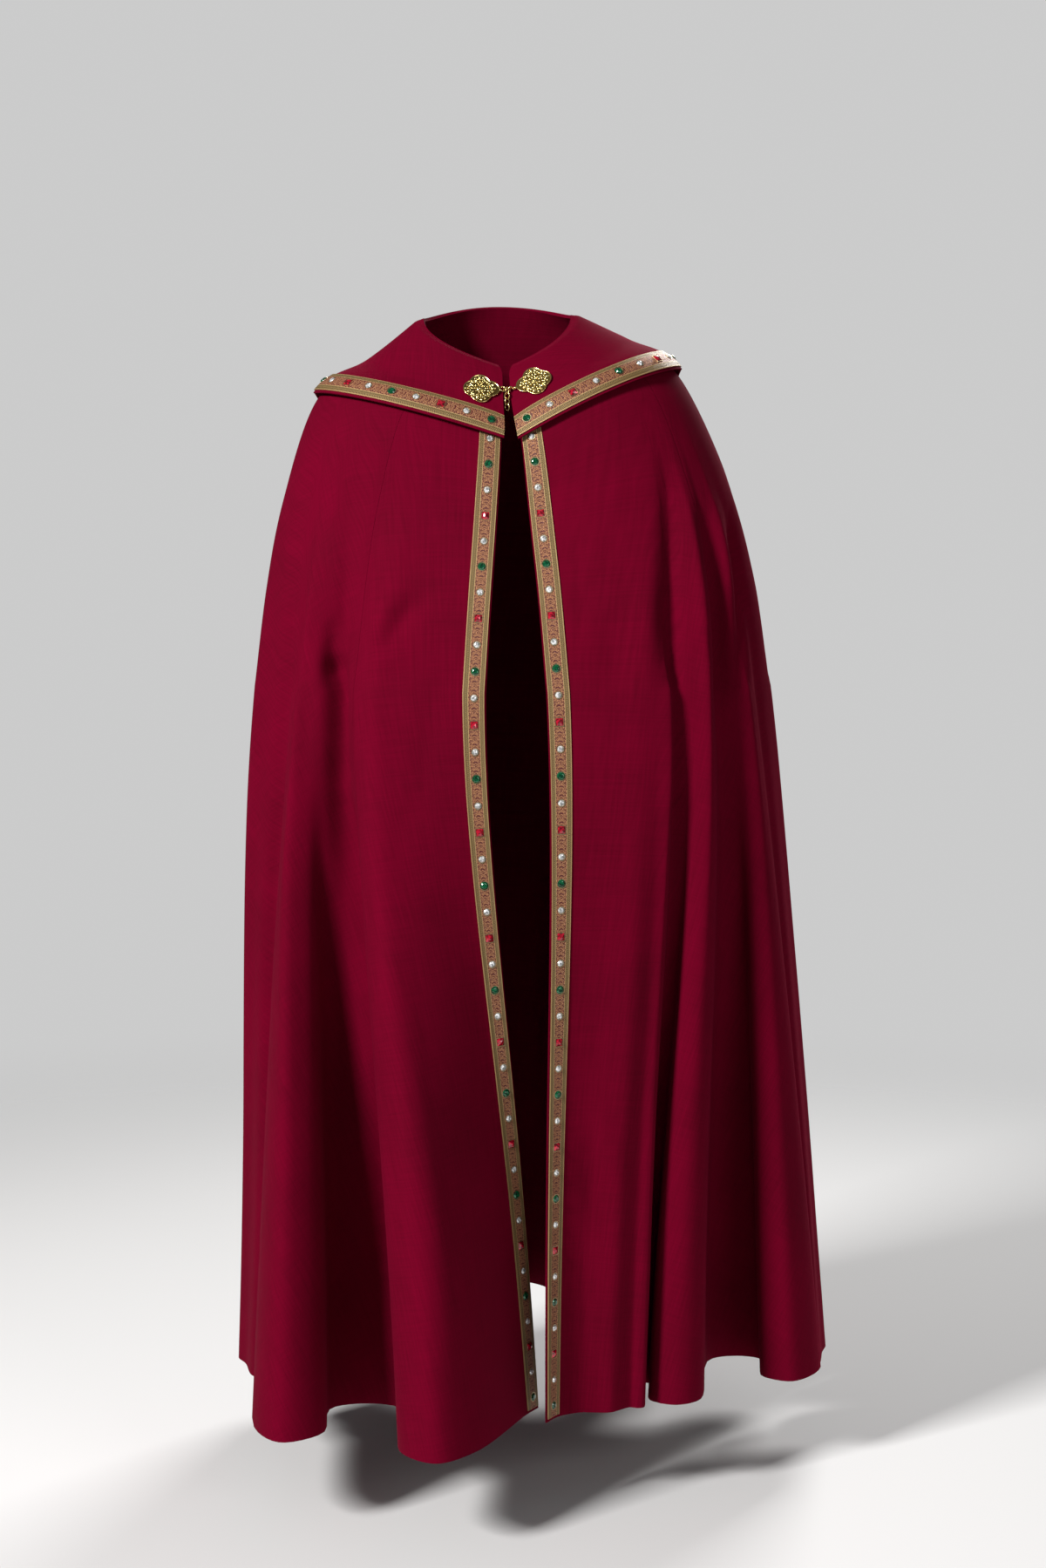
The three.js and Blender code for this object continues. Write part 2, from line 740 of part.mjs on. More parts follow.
const half = seamGap / 2;
addMesh('right_front', bodyPanel(0, rightSeam, -edgeLip, half), crimson);
addMesh('back', bodyPanel(rightSeam, leftSeam, half, half), crimson);
addMesh('left_front', bodyPanel(leftSeam, lastStation, half, -edgeLip), crimson);
addMesh('collar', wall(collar, 0, collarWall), crimson);
addMesh('right_front_band', frontBand(true), galloonGold);
addMesh('left_front_band', frontBand(false), galloonGold);
addMesh('collar_band', collarBand(), galloonGold);
addMesh('clasp_plate_right', rightPlate(), polishedGold);
addMesh('clasp_plate_left', leftPlate(), polishedGold);
addMesh('clasp_ring', looseRing(), polishedGold);
linkTurns.forEach((turn, i) => {
  const link = addMesh(`tail_link_${i + 1}`, tailLink(), polishedGold);
  link.rotation.z = radians(turn);
  link.position.copy(linkCentre(i));
});

export default cope;
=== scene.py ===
# A worn cope: crimson cloth, jewelled galloon and a hooked clasp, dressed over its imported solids.
# +Z is up, the front faces -Y and the wearer's right is at -X. Tables are in millimetres.
import math

import bmesh
import bpy
import numpy as np
from mathutils import Matrix, Vector, noise


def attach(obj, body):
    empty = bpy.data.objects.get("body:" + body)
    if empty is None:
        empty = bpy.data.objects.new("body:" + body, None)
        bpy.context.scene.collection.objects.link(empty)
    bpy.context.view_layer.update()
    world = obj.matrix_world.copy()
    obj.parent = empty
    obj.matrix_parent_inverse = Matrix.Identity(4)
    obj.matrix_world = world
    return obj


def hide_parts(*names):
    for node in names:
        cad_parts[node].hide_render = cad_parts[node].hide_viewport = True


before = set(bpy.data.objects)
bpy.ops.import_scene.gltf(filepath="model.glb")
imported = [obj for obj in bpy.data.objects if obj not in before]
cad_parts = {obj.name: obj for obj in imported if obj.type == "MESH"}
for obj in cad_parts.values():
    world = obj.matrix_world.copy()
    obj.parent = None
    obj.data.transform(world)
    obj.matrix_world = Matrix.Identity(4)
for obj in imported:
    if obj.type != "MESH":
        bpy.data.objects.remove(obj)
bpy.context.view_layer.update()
mm = 0.001
scene = bpy.context.scene
print("frame loaded")


# Camera
viewpoint = {"place": (0.0332, -3.65, -0.262), "tiltDown": 5.5, "focalPixels": 3186,
             "imageTall": 1799, "sensor": 36}


def makeCamera():
    data = bpy.data.cameras.new("studioCamera")
    data.sensor_width = viewpoint["sensor"]
    data.lens = viewpoint["sensor"] * viewpoint["focalPixels"] / viewpoint["imageTall"]
    data.dof.use_dof = False
    camera = bpy.data.objects.new("studioCamera", data)
    camera.location = viewpoint["place"]
    camera.rotation_euler = (math.radians(90 - viewpoint["tiltDown"]), 0, 0)
    scene.collection.objects.link(camera)
    scene.camera = camera


makeCamera()


# The garment's sections, folds and front edges
def table(columns, rows):
    return [dict(zip(columns, row)) for row in rows]


sections = table(
    ["name", "edgeZ", "rightZ", "leftZ", "backZ", "rightEdgeX", "leftEdgeX", "edgeY",
     "rightX", "leftX", "sideY", "backY", "square", "drop"],
    [
        ["neck", -70, -7, -3, 14, 1, 20, -64, -95, 95, 4, 78, 2.0, 0.5],
        ["midCollar", -118, -64, -38, -58, 3, 24, -97, -167, 169, 8, 112, 2.1, 0.9],
        ["collarEdge", -168, -110, -80, -150, 4, 33, -124, -235, 236, 10, 138, 2.3, 1.35],
        ["upperArm", -262, -240, -218, -262, -1, 43, -150, -281, 303, 12, 160, 2.4, 1.3],
        ["lowerArm", -365, -356, -346, -365, -8, 54, -185, -306, 339, 13, 175, 2.4, 1],
        ["waist", -480, -480, -480, -480, -15, 64, -211, -322, 357, 14, 188, 2.4, 1],
    ],
)
folds = table(
    ["name", "x", "y", "face", "half", "deep", "top", "waist", "out"],
    [
        ["frontCrest", -72, -378, 0, 45, 40, 0.05, 0.06, 12],
        ["frontValley", -168, -148, 0, 44, -18, 0.105, 0.1, -26],
        ["armCrest", -266, -301, 8, 42, 40, 0.135, 0.124, 12],
        ["armValley", -319, -45, 75, 22, -6, 0.17, 0.152, -14],
        ["sideCrest", -355, 52, 88, 30, 12, 0.215, 0.2, 2],
        ["valley1", -217, 105, 104, 24, -22, 0.262, 0.262, -10],
        ["crest1", -306, 242, 120, 42, 36, 0.29, 0.3, 8],
        ["valley2", -132, 217, 135, 26, -22, 0.335, 0.345, -12],
        ["crest2", -164, 387, 149, 44, 38, 0.385, 0.395, 8],
        ["valley3", -30, 284, 163, 26, -22, 0.44, 0.445, -12],
        ["crest3", 24, 434, 177, 44, 36, 0.495, 0.495, 8],
        ["valley4", 94, 290, 191, 26, -22, 0.55, 0.545, -12],
        ["crest4", 225, 408, 206, 44, 38, 0.605, 0.595, 8],
        ["valley5", 209, 229, 221, 26, -22, 0.655, 0.645, -12],
        ["crest5", 389, 272, 236, 42, 36, 0.7, 0.69, 8],
        ["valley6", 307, 125, 252, 24, -22, 0.738, 0.735, -10],
        ["leftSideCrest", 452, 108, 268, 32, 8, 0.79, 0.775, 2],
        ["leftNotch", 433, 20, 275, 8, -4, 0.827, 0.819, -4],
        ["leftArmCrest", 388, -57, 356, 34, 26, 0.84, 0.842, 6],
        ["leftArmValley", 322, 57, 0, 34, -14, 0.856, 0.868, -18],
        ["leftFrontCrest", 230, -154, 0, 32, 20, 0.872, 0.893, 8],
        ["leftRecess", 196, -62, 0, 6, -8, 0.885, 0.914, -16],
        ["leftPanelEnd", 180, -167, 0, 9, 3, 0.9, 0.925, 3],
        ["leftPanel", 125, -184, 0, 20, 0, 0.945, 0.96, 0],
    ],
)
edgesAtHem = table(
    ["name", "x", "y", "towardX", "towardY"],
    [
        ["right", 52, -167, 35, -198],
        ["left", 64, -224, 79, -200],
    ],
)
cut = {"wall": 2, "seamGap": 0.3, "edgeLip": 2, "waistZ": -480, "hemZ": -1405, "hemFlare": 0.15,
       "waistCarry": 0.6, "bandWidth": 27, "waistLevel": 5, "hemLevel": 6, "foldStartLevel": 2,
       "stationsPerFold": 3, "leadStations": 2, "pushPower": 1.5, "bandReach": 0.25}
halvings = 30
lastStation = len(folds) * cut["stationsPerFold"] + 2 * cut["leadStations"] - 1


def seamAfter(name):
    place = [fold["name"] for fold in folds].index(name)
    return cut["leadStations"] + (place + 1) * cut["stationsPerFold"] - 0.5


rightSeam = seamAfter("frontCrest")
leftSeam = seamAfter("leftArmValley")


def smooth(low, high, value):
    share = np.clip((value - low) / (high - low), 0, 1)
    return share * share * (3 - 2 * share)


def unit(vectors):
    return vectors / np.maximum(np.linalg.norm(vectors, axis=-1, keepdims=True), 1e-9)


# A smooth curve through one column of the sections, at any level
def sectionValue(name, level):
    values = np.array([row[name] for row in sections], float)
    last = len(values) - 1
    start = np.clip(np.floor(level).astype(int), 0, last - 1)
    a, b, c, d = (values[np.clip(start + k, 0, last)] for k in (-1, 0, 1, 2))
    t = level - start
    return 0.5 * (2 * b + (c - a) * t + (2 * a - 5 * b + 4 * c - d) * t ** 2
                  + (3 * b - a - 3 * c + d) * t ** 3)


# The garment without folds: place is 0 at the right front edge, 0.5 at the back, 1 at the left edge
def drape(place, level):
    place, level = np.broadcast_arrays(np.asarray(place, float), np.asarray(level, float))
    row = {name: sectionValue(name, level) for name in sections[0] if name != "name"}
    right = place <= 0.5
    half = np.where(right, place, 1 - place) * 2
    sideX = np.where(right, row["rightX"], row["leftX"])
    sideZ = np.where(right, row["rightZ"], row["leftZ"])
    edgeX = np.where(right, row["rightEdgeX"], row["leftEdgeX"])
    power = 2 / row["square"]
    turn = np.clip(half, 0, 0.5) * math.pi
    across, along = np.sin(turn) ** power, np.maximum(np.cos(turn), 0) ** power
    front = np.stack([edgeX + (sideX - edgeX) * across,
                      row["sideY"] + (row["edgeY"] - row["sideY"]) * along,
                      sideZ + (row["edgeZ"] - sideZ) * np.maximum(1 - across, 0) ** row["drop"]], -1)
    turn = np.clip(half - 0.5, 0, 0.5) * math.pi
    rear = np.stack([sideX * np.maximum(np.cos(turn), 0) ** power,
                     row["sideY"] + (row["backY"] - row["sideY"]) * np.sin(turn) ** power,
                     sideZ + (row["backZ"] - sideZ) * np.sin(turn) ** 2], -1)
    return np.where((half < 0.5)[..., None], front, rear)


# Where the galloon's outer side lies round the garment, at each level
def bandPlace(right, levels):
    side = (lambda place: place) if right else (lambda place: 1 - place)
    edge = drape(side(np.zeros_like(levels)), levels)
    near, far = np.zeros_like(levels), np.full_like(levels, cut["bandReach"])
    for _ in range(halvings):
        middle = (near + far) / 2
        inside = np.linalg.norm(drape(side(middle), levels) - edge, axis=-1) < cut["bandWidth"]
        near, far = np.where(inside, middle, near), np.where(inside, far, middle)
    return side(near)


def heading(degrees):
    turn = math.radians(degrees)
    return np.array([-math.sin(turn), -math.cos(turn), 0])


def hemStations():
    ends = []
    for edge in edgesAtHem:
        start = np.array([edge["x"], edge["y"], 0.0])
        along = unit(np.array([edge["towardX"], edge["towardY"], 0.0]) - start)
        ends.append([start, start + along * cut["bandWidth"]])
    bends = []
    for fold in folds:
        out, along = heading(fold["face"]), heading(fold["face"] + 90)
        tip = np.array([fold["x"], fold["y"], 0.0])
        base = tip - out * fold["deep"]
        bends += [base - along * fold["half"], tip, base + along * fold["half"]]
    return np.array(ends[0] + bends + ends[1][::-1])


def stationValues(first, column, last):
    tips = [first] + [fold[column] + first * 0 for fold in folds] + [last]
    values = []
    for i in range(1, len(tips) - 1):
        values += [tips[i] + (tips[i - 1] - tips[i]) / 3, tips[i], tips[i] + (tips[i + 1] - tips[i]) / 3]
    return np.stack(values, -1)


def upperStations(levels):
    share = smooth(cut["foldStartLevel"], cut["waistLevel"], levels)[:, None]
    lead = [bandPlace(True, levels), bandPlace(False, levels)]
    tops = stationValues(lead[0], "top", lead[1])
    waists = stationValues(lead[0], "waist", lead[1])
    pushes = stationValues(np.zeros_like(levels), "out", np.zeros_like(levels))
    points = drape(tops + (waists - tops) * share, levels[:, None])
    outward = unit(points * np.array([1, 1, 0]))
    inner = points + outward * (pushes * share ** cut["pushPower"])[..., None]
    ends = [drape(place, levels)[:, None] for place in (0 * levels, lead[0], lead[1], 0 * levels + 1)]
    return np.concatenate([ends[0], ends[1], inner, ends[2], ends[3]], axis=1)


waistStations = upperStations(np.array([cut["waistLevel"]], float))[0]
aboveWaist = upperStations(np.array([cut["waistLevel"] - 0.1]))[0]
hemPoints = hemStations()


def lowerStations(levels):
    t = (levels - cut["waistLevel"])[:, None, None]
    height = cut["hemZ"] - cut["waistZ"]
    step = waistStations - aboveWaist
    slope = step * (height / np.minimum(step[:, 2:], -1))
    span = hemPoints - waistStations
    ease = t * (1 + cut["hemFlare"] * (1 - t))
    early = (slope - span * (1 + cut["hemFlare"])) * cut["waistCarry"] * t * (1 - t) ** 3
    points = waistStations + span * ease + early
    points[..., 2] = cut["waistZ"] + height * t[..., 0]
    return points


def stationPoints(levels):
    levels = np.asarray(levels, float)
    upper = upperStations(np.minimum(levels, cut["waistLevel"]))
    lower = lowerStations(np.maximum(levels, cut["waistLevel"]))
    return np.where((levels <= cut["waistLevel"])[:, None, None], upper, lower)


# A centripetal curve through each row of station points
def curveThrough(points, stations):
    stations = np.broadcast_to(stations, (len(points), np.shape(stations)[-1]))
    start = np.clip(np.floor(stations).astype(int), 0, lastStation - 1)
    t = (stations - start)[..., None]
    before, after = 2 * points[:, :1] - points[:, 1:2], 2 * points[:, -1:] - points[:, -2:-1]
    full = np.concatenate([before, points, after], axis=1)
    rows = np.arange(len(points))[:, None]
    p0, p1, p2, p3 = (full[rows, start + k] for k in range(4))
    d0, d1, d2 = (np.linalg.norm(b - a, axis=-1, keepdims=True) ** 0.5
                  for a, b in ((p0, p1), (p1, p2), (p2, p3)))
    m1 = ((p1 - p0) / d0 - (p2 - p0) / (d0 + d1) + (p2 - p1) / d1) * d1
    m2 = ((p2 - p1) / d1 - (p3 - p1) / (d1 + d2) + (p3 - p2) / d2) * d1
    return p1 + m1 * t + (3 * (p2 - p1) - 2 * m1 - m2) * t ** 2 + (2 * (p1 - p2) + m1 + m2) * t ** 3


def clothGrid(stations, levels):
    return curveThrough(stationPoints(levels), np.asarray(stations, float))


def gridNormals(grid):
    across, down = np.gradient(grid, axis=1), np.gradient(grid, axis=0)
    return unit(np.cross(across, down))


# Creases in the cloth: each runs through three spots given as station and level, with its half width
# and depth in millimetres, below zero in a trough, and where along it the depth is greatest
creases = table(
    ["where", "from", "middle", "to", "wide", "deep", "peak"],
    [
        ["rightArmTrough", (9.9, 2.5), (9.9, 4.1), (10.1, 5.35), 17, -11, 0.75],
        ["armSideTrough", (11.6, 5.1), (12.4, 5.42), (9.8, 5.85), 13, -9, 0.5],
        ["armSideRidge", (9.4, 5.15), (9.0, 5.45), (9.1, 5.85), 11, 4, 0.5],
        ["rightArmRidge", (12.4, 2.9), (12.6, 4.0), (12.0, 5.1), 24, 4, 0.5],
        ["elbowDimple", (6.9, 4.2), (6.8, 4.55), (6.5, 4.85), 10, -8, 0.5],
        ["elbowTrough", (6.7, 4.5), (6.0, 5.03), (4.4, 5.45), 14, -11, 0.2],
        ["elbowRidge", (7.9, 4.35), (7.5, 4.95), (6.3, 5.3), 14, 7, 0.3],
        ["elbowShelf", (5.5, 4.45), (5.0, 4.9), (3.6, 5.25), 16, 4, 0.3],
        ["breastDiagonal", (1.5, 3.9), (2.2, 4.22), (3.2, 4.65), 13, -5.5, 0.5],
        ["breastRidge", (2.0, 3.6), (3.0, 4.15), (4.1, 4.55), 14, 2.5, 0.5],
        ["waistDrape", (1.1, 4.5), (1.4, 5.0), (2.2, 5.2), 15, -4.5, 0.4],
        ["breastFaint", (4.0, 4.2), (3.7, 4.5), (3.2, 4.85), 8, -2, 0.5],
        ["valleyFoot", (5.4, 5.12), (4.7, 5.45), (5.8, 5.95), 20, -22, 0.6],
        ["crestFoot", (3.1, 5.3), (2.6, 5.6), (2.4, 5.95), 26, 8, 0.6],
        ["panelTrough", (63.6, 2.5), (67.6, 3.6), (68.6, 5.1), 17, -12, 0.7],
        ["panelRidge", (66.0, 2.7), (69.6, 3.9), (70.2, 5.1), 22, 4, 0.6],
        ["panelFoot", (69.0, 5.12), (69.0, 5.4), (68.0, 5.85), 20, -5, 0.4],
        ["secondTrough", (59.8, 3.1), (59.2, 4.2), (59.4, 5.2), 15, -13, 0.6],
        ["secondRidge", (62.0, 2.8), (61.9, 4.1), (62.6, 5.1), 17, 5, 0.6],
        ["thirdTrough", (52.0, 3.1), (56.6, 4.3), (57.3, 5.15), 14, -12, 0.6],
        ["thirdRidge", (56.0, 3.0), (58.0, 4.1), (58.3, 5.1), 13, 4, 0.6],
        ["armDimple", (62.9, 4.3), (63.2, 4.48), (63.4, 4.66), 11, -3, 0.5],
        ["panelHollow", (72.0, 4.1), (72.4, 4.6), (73.0, 5.1), 26, -3.5, 0.5],
        ["panelLow", (73.4, 5.6), (72.4, 5.7), (71.4, 5.75), 18, -4, 0.5],
        ["panelLowRidge", (72.9, 5.5), (72.0, 5.62), (70.8, 5.7), 16, 2.5, 0.5],
        ["leftArmTrough", (49.2, 2.8), (50.2, 4.0), (50.6, 5.1), 18, -7, 0.6],
        ["rightBackTrough", (20.5, 2.9), (20.2, 4.1), (19.9, 5.1), 17, -7, 0.6],
        ["rightBackRidge", (22.6, 3.2), (23.0, 4.3), (22.8, 5.1), 18, 4, 0.6],
        ["backDiagonal", (25.2, 3.0), (26.8, 4.0), (26.6, 5.0), 15, -6, 0.5],
        ["backMiddle", (32.4, 2.9), (32.9, 4.2), (32.4, 5.15), 16, -8, 0.65],
        ["backRidge", (35.0, 3.3), (34.6, 4.4), (35.2, 5.1), 18, 4, 0.6],
        ["backShort", (37.4, 3.6), (37.9, 4.5), (38.8, 5.1), 12, -5, 0.5],
        ["leftBackTrough", (43.0, 3.0), (42.4, 4.0), (41.8, 5.1), 16, -7, 0.6],
        ["leftBackDimple", (46.4, 4.2), (45.7, 4.6), (45.4, 5.02), 12, -4, 0.5],
    ],
)
soft = {"noiseTall": 0.32, "noiseWide": 0.09, "noiseDeep": 1.6, "seamDip": 0.25, "besideDip": 0.2,
        "creaseSteps": 61, "reach": 3, "endFade": 0.16, "peakShare": 0.7, "pushStep": 0.2,
        "pushSpread": 2.4, "topFade": (2.3, 3.2), "edgeFade": (0.8, 2.2)}


def creaseLine(crease):
    t = np.linspace(0, 1, soft["creaseSteps"])[:, None]
    start, middle, end = (np.array(crease[name], float) for name in ("from", "middle", "to"))
    bent = start * (1 - t) * (1 - 2 * t) + middle * 4 * t * (1 - t) + end * t * (2 * t - 1)
    return curveThrough(stationPoints(bent[:, 1]), bent[:, :1])[:, 0]


def creaseDepth(points):
    depth = np.zeros(points.shape[:-1])
    for crease in creases:
        line = creaseLine(crease)
        margin = soft["reach"] * crease["wide"]
        near = np.all((points > line.min(0) - margin) & (points < line.max(0) + margin), axis=-1)
        away = np.linalg.norm(points[near][:, None] - line[None], axis=-1)
        share = away.argmin(1) / (len(line) - 1)
        peak = crease["peak"]
        rise = np.where(share < peak, share / peak, (1 - share) / (1 - peak))
        ends = smooth(0, soft["endFade"], np.minimum(share, 1 - share))
        fade = smooth(0, 1, rise) * soft["peakShare"] + (1 - soft["peakShare"]) * ends
        depth[near] += crease["deep"] * fade * np.exp(-(away.min(1) / crease["wide"]) ** 2)
    return depth


def softNoise(points):
    wide, tall = soft["noiseWide"] / mm, soft["noiseTall"] / mm
    flat = points.reshape(-1, 3)
    values = [noise.noise(Vector((p[0] / wide, p[1] / wide, p[2] / tall))) for p in flat]
    return np.array(values).reshape(points.shape[:-1]) * soft["noiseDeep"]


body = {"hiddenRows": 10, "hiddenTo": 1.8, "upperRows": 74, "lowerRows": 84, "perStation": 5,
        "frontPerStation": 9}
bodyLevels = np.concatenate([np.linspace(0, body["hiddenTo"], body["hiddenRows"] + 1)[:-1],
                             np.linspace(body["hiddenTo"], cut["waistLevel"], body["upperRows"] + 1)[:-1],
                             np.linspace(cut["waistLevel"], cut["hemLevel"], body["lowerRows"] + 1)])


# The way the creases push the cloth: its normals, evened out over a few stations on each side
def pushTable():
    stations = np.arange(0, lastStation + soft["pushStep"] / 2, soft["pushStep"])
    normals = gridNormals(clothGrid(stations, bodyLevels))
    spread = int(soft["pushSpread"] / soft["pushStep"])
    weights = np.hanning(2 * spread + 3)[1:-1]
    padded = np.pad(normals, ((0, 0), (spread, spread), (0, 0)), mode="edge")
    evened = sum(weight * padded[:, i:i + len(stations)] for i, weight in enumerate(weights))
    return unit(evened)


pushNormals = pushTable()


def pushWay(stations, levels):
    column = stations / soft["pushStep"]
    row = np.interp(levels, bodyLevels, np.arange(len(bodyLevels)))
    left = np.clip(np.floor(column).astype(int), 0, pushNormals.shape[1] - 2)
    upper = np.clip(np.floor(row).astype(int), 0, len(bodyLevels) - 2)
    u, v = (column - left)[None, :, None], (row - upper)[:, None, None]
    corners = [[pushNormals[np.ix_(upper + i, left + j)] for j in (0, 1)] for i in (0, 1)]
    rows = [corner[0] * (1 - u) + corner[1] * u for corner in corners]
    return unit(rows[0] * (1 - v) + rows[1] * v)


# The cloth's outer face with its creases, which fade out under the collar and at the front edges
def creasedCloth(stations, levels):
    stations, levels = np.asarray(stations, float), np.asarray(levels, float)
    grid = clothGrid(stations, levels)
    below = smooth(*soft["topFade"], levels)[:, None]
    inside = smooth(*soft["edgeFade"], np.minimum(stations, lastStation - stations))[None]
    depth = (creaseDepth(grid) + softNoise(grid)) * below * inside
    return grid + pushWay(stations, levels) * depth[..., None], gridNormals(grid)


# Flat coordinates of a cut in metres, laid out round the neck: shares of the turn run across it
hemSteps = np.linspace(0, lastStation, 900)
hemLine = clothGrid(hemSteps, [cut["hemLevel"]])[0]
hemLengths = np.concatenate([[0], np.cumsum(np.linalg.norm(np.diff(hemLine, axis=0), axis=1))])
neckRadius = 90


def flatRound(grid, shares, turn):
    steps = np.linalg.norm(np.diff(grid, axis=0), axis=-1).mean(1)
    radii = (neckRadius + np.concatenate([[0], np.cumsum(steps)]))[:, None]
    angle = shares[None] * turn
    return np.stack([radii * np.cos(angle), radii * np.sin(angle)], -1) * mm


# Meshes and pieces, with the body and the replaced node of each piece
def newMesh(name, bm, smoothed=False):
    for face in bm.faces:
        face.smooth = face.smooth or smoothed
    mesh = bpy.data.meshes.new(name)
    bm.to_mesh(mesh)
    bm.free()
    return mesh


def newPiece(name, mesh):
    piece = bpy.data.objects.new(name, mesh)
    scene.collection.objects.link(piece)
    return piece


def declare(piece, node=None, rider="garment"):
    if node:
        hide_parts(node)
    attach(piece, rider)
    return piece


# A shell from a grid of points: a bmesh grid is moved into place and thickened inwards
def gridShell(name, node, grid, flat, wall):
    rows, columns = grid.shape[:2]
    bm = bmesh.new()
    bm.loops.layers.uv.new("flat")
    bmesh.ops.create_grid(bm, x_segments=columns - 1, y_segments=rows - 1, size=0.5, calc_uvs=True)
    layer = bm.loops.layers.uv["flat"]
    places = {}
    for vertex in bm.verts:
        column = round((vertex.co.x + 0.5) * (columns - 1))
        row = round((0.5 - vertex.co.y) * (rows - 1))
        places[vertex.index] = (row, column)
        vertex.co = Vector(grid[row, column] * mm)
    for face in bm.faces:
        for loop in face.loops:
            loop[layer].uv = flat[places[loop.vert.index]]
    bmesh.ops.reverse_faces(bm, faces=bm.faces)
    for edge in bm.edges:
        edge.smooth = not edge.is_boundary
    piece = newPiece(name, newMesh(name, bm, smoothed=True))
    shell = piece.modifiers.new("thickness", "SOLIDIFY")
    shell.thickness = wall * mm
    shell.offset = -1
    return declare(piece, node)


# A panel of the body, with a lip past its front edge or half a gap at its seam
def bodyPanel(name, start, end, perStation, lips):
    stations = np.linspace(start, end, int(round((end - start) * perStation)) + 1)
    grid, normals = creasedCloth(stations, bodyLevels)
    flat = flatRound(grid, np.interp(stations, hemSteps, hemLengths / hemLengths[-1]), math.pi)
    for side, beside, lip in zip((0, -1), (1, -2), lips):
        inward = unit(grid[:, beside] - grid[:, side])
        if lip == "edge":
            added = [(grid[:, side] - inward * cut["edgeLip"])[:, None], grid]
            addedFlat = [flat[:, side:][:, :1], flat]
            order = 1 if side == 0 else -1
            grid = np.concatenate(added[::order], axis=1)
            flat = np.concatenate(addedFlat[::order], axis=1)
        else:
            grid[:, side] += inward * cut["seamGap"] / 2
            grid[:, side] -= normals[:, side] * soft["seamDip"]
            grid[:, beside] -= normals[:, beside] * soft["seamDip"] * soft["besideDip"]
    return gridShell(f"{name}_cloth", name, grid, flat, cut["wall"])


rightFront = bodyPanel("right_front", 0, rightSeam, body["frontPerStation"], ("edge", "seam"))
back = bodyPanel("back", rightSeam, leftSeam, body["perStation"], ("seam", "seam"))
leftFront = bodyPanel("left_front", leftSeam, lastStation, body["frontPerStation"], ("seam", "edge"))
print("body cloth made")


# Collar: how far it stands off the body, how low it reaches and how it is divided
collarCut = {"wall": 2.2, "neckLift": 0.3, "bodyLift": 3.4, "edgeLift": 7, "riseEnd": 0.1,
             "flareStart": 0.3, "frontLevel": 1.96, "backDrop": 0.85, "overhang": 4.5, "lip": 3,
             "columns": 200, "rows": 40, "rowEase": 1.2, "bandRows": 8, "overhangEnd": 0.25,
             "placeStep": 0.006, "levelStep": 0.05, "flatTurn": 1.3}


def collarEdge(place):
    rear = np.clip(1 - np.abs(place - 0.5) * 4, 0, 1)
    return collarCut["frontLevel"] + collarCut["backDrop"] * smooth(0, 1, rear)


def surfaceNormal(surface, place, level, placeStep, levelStep):
    across = (surface(np.minimum(place + placeStep, 1), level)
              - surface(np.maximum(place - placeStep, 0), level))
    down = (surface(place, np.minimum(level + levelStep, cut["waistLevel"]))
            - surface(place, np.maximum(level - levelStep, 0)))
    return unit(np.cross(across, down))


def collarLift(place, level):
    share = level / collarEdge(place)
    rise = (collarCut["bodyLift"] - collarCut["neckLift"]) * smooth(0, collarCut["riseEnd"], share)
    flare = (collarCut["edgeLift"] - collarCut["bodyLift"]) * smooth(collarCut["flareStart"], 1, share)
    return collarCut["wall"] + collarCut["neckLift"] + rise + flare


def collarPoint(place, level):
    normal = surfaceNormal(drape, place, level, collarCut["placeStep"], collarCut["levelStep"])
    return drape(place, level) + normal * collarLift(place, level)[..., None]


def levelAbove(place, distance):
    foot = drape(place, collarEdge(place))
    near, far = np.zeros_like(place), collarEdge(place)
    for _ in range(halvings):
        middle = (near + far) / 2
        above = np.linalg.norm(drape(place, middle) - foot, axis=-1) > distance
        near, far = np.where(above, middle, near), np.where(above, far, middle)
    return near


# Rows of the collar's face from the neck to the top of its band, then across the band, then the lip
def collarRows(fromRow, toRow):
    places = np.linspace(0, 1, collarCut["columns"] + 1)
    top = levelAbove(places, collarCut["lip"] + cut["bandWidth"])
    foot = levelAbove(places, collarCut["lip"])
    rows = [top * share for share in np.linspace(0, 1, collarCut["rows"] + 1) ** collarCut["rowEase"]]
    rows += [top + (foot - top) * share for share in np.linspace(0, 1, collarCut["bandRows"] + 1)[1:]]
    rows += [collarEdge(places)]
    levels = np.array(rows)[fromRow:toRow]
    grid = collarPoint(np.broadcast_to(places, levels.shape), levels)
    share = smooth(0, 1, levels / np.maximum(top, 1e-6) / collarCut["overhangEnd"])
    for side, beside in ((0, 1), (-1, -2)):
        along = unit(grid[:, side] - grid[:, beside])
        grid[:, side] += along * (collarCut["overhang"] * share[:, side])[:, None]
    return grid, places


def collarCloth():
    grid, places = collarRows(0, None)
    flat = flatRound(grid, places, math.pi * collarCut["flatTurn"])
    return gridShell("collar_cloth", "collar", grid, flat, collarCut["wall"])


collar = collarCloth()
print("collar made")


# Galloon bands
galloon = {"lift": 0.3, "wall": 1.4, "columns": 12, "upperRows": 80, "lowerRows": 160, "topLevel": 0.4,
           "hemGap": 4}


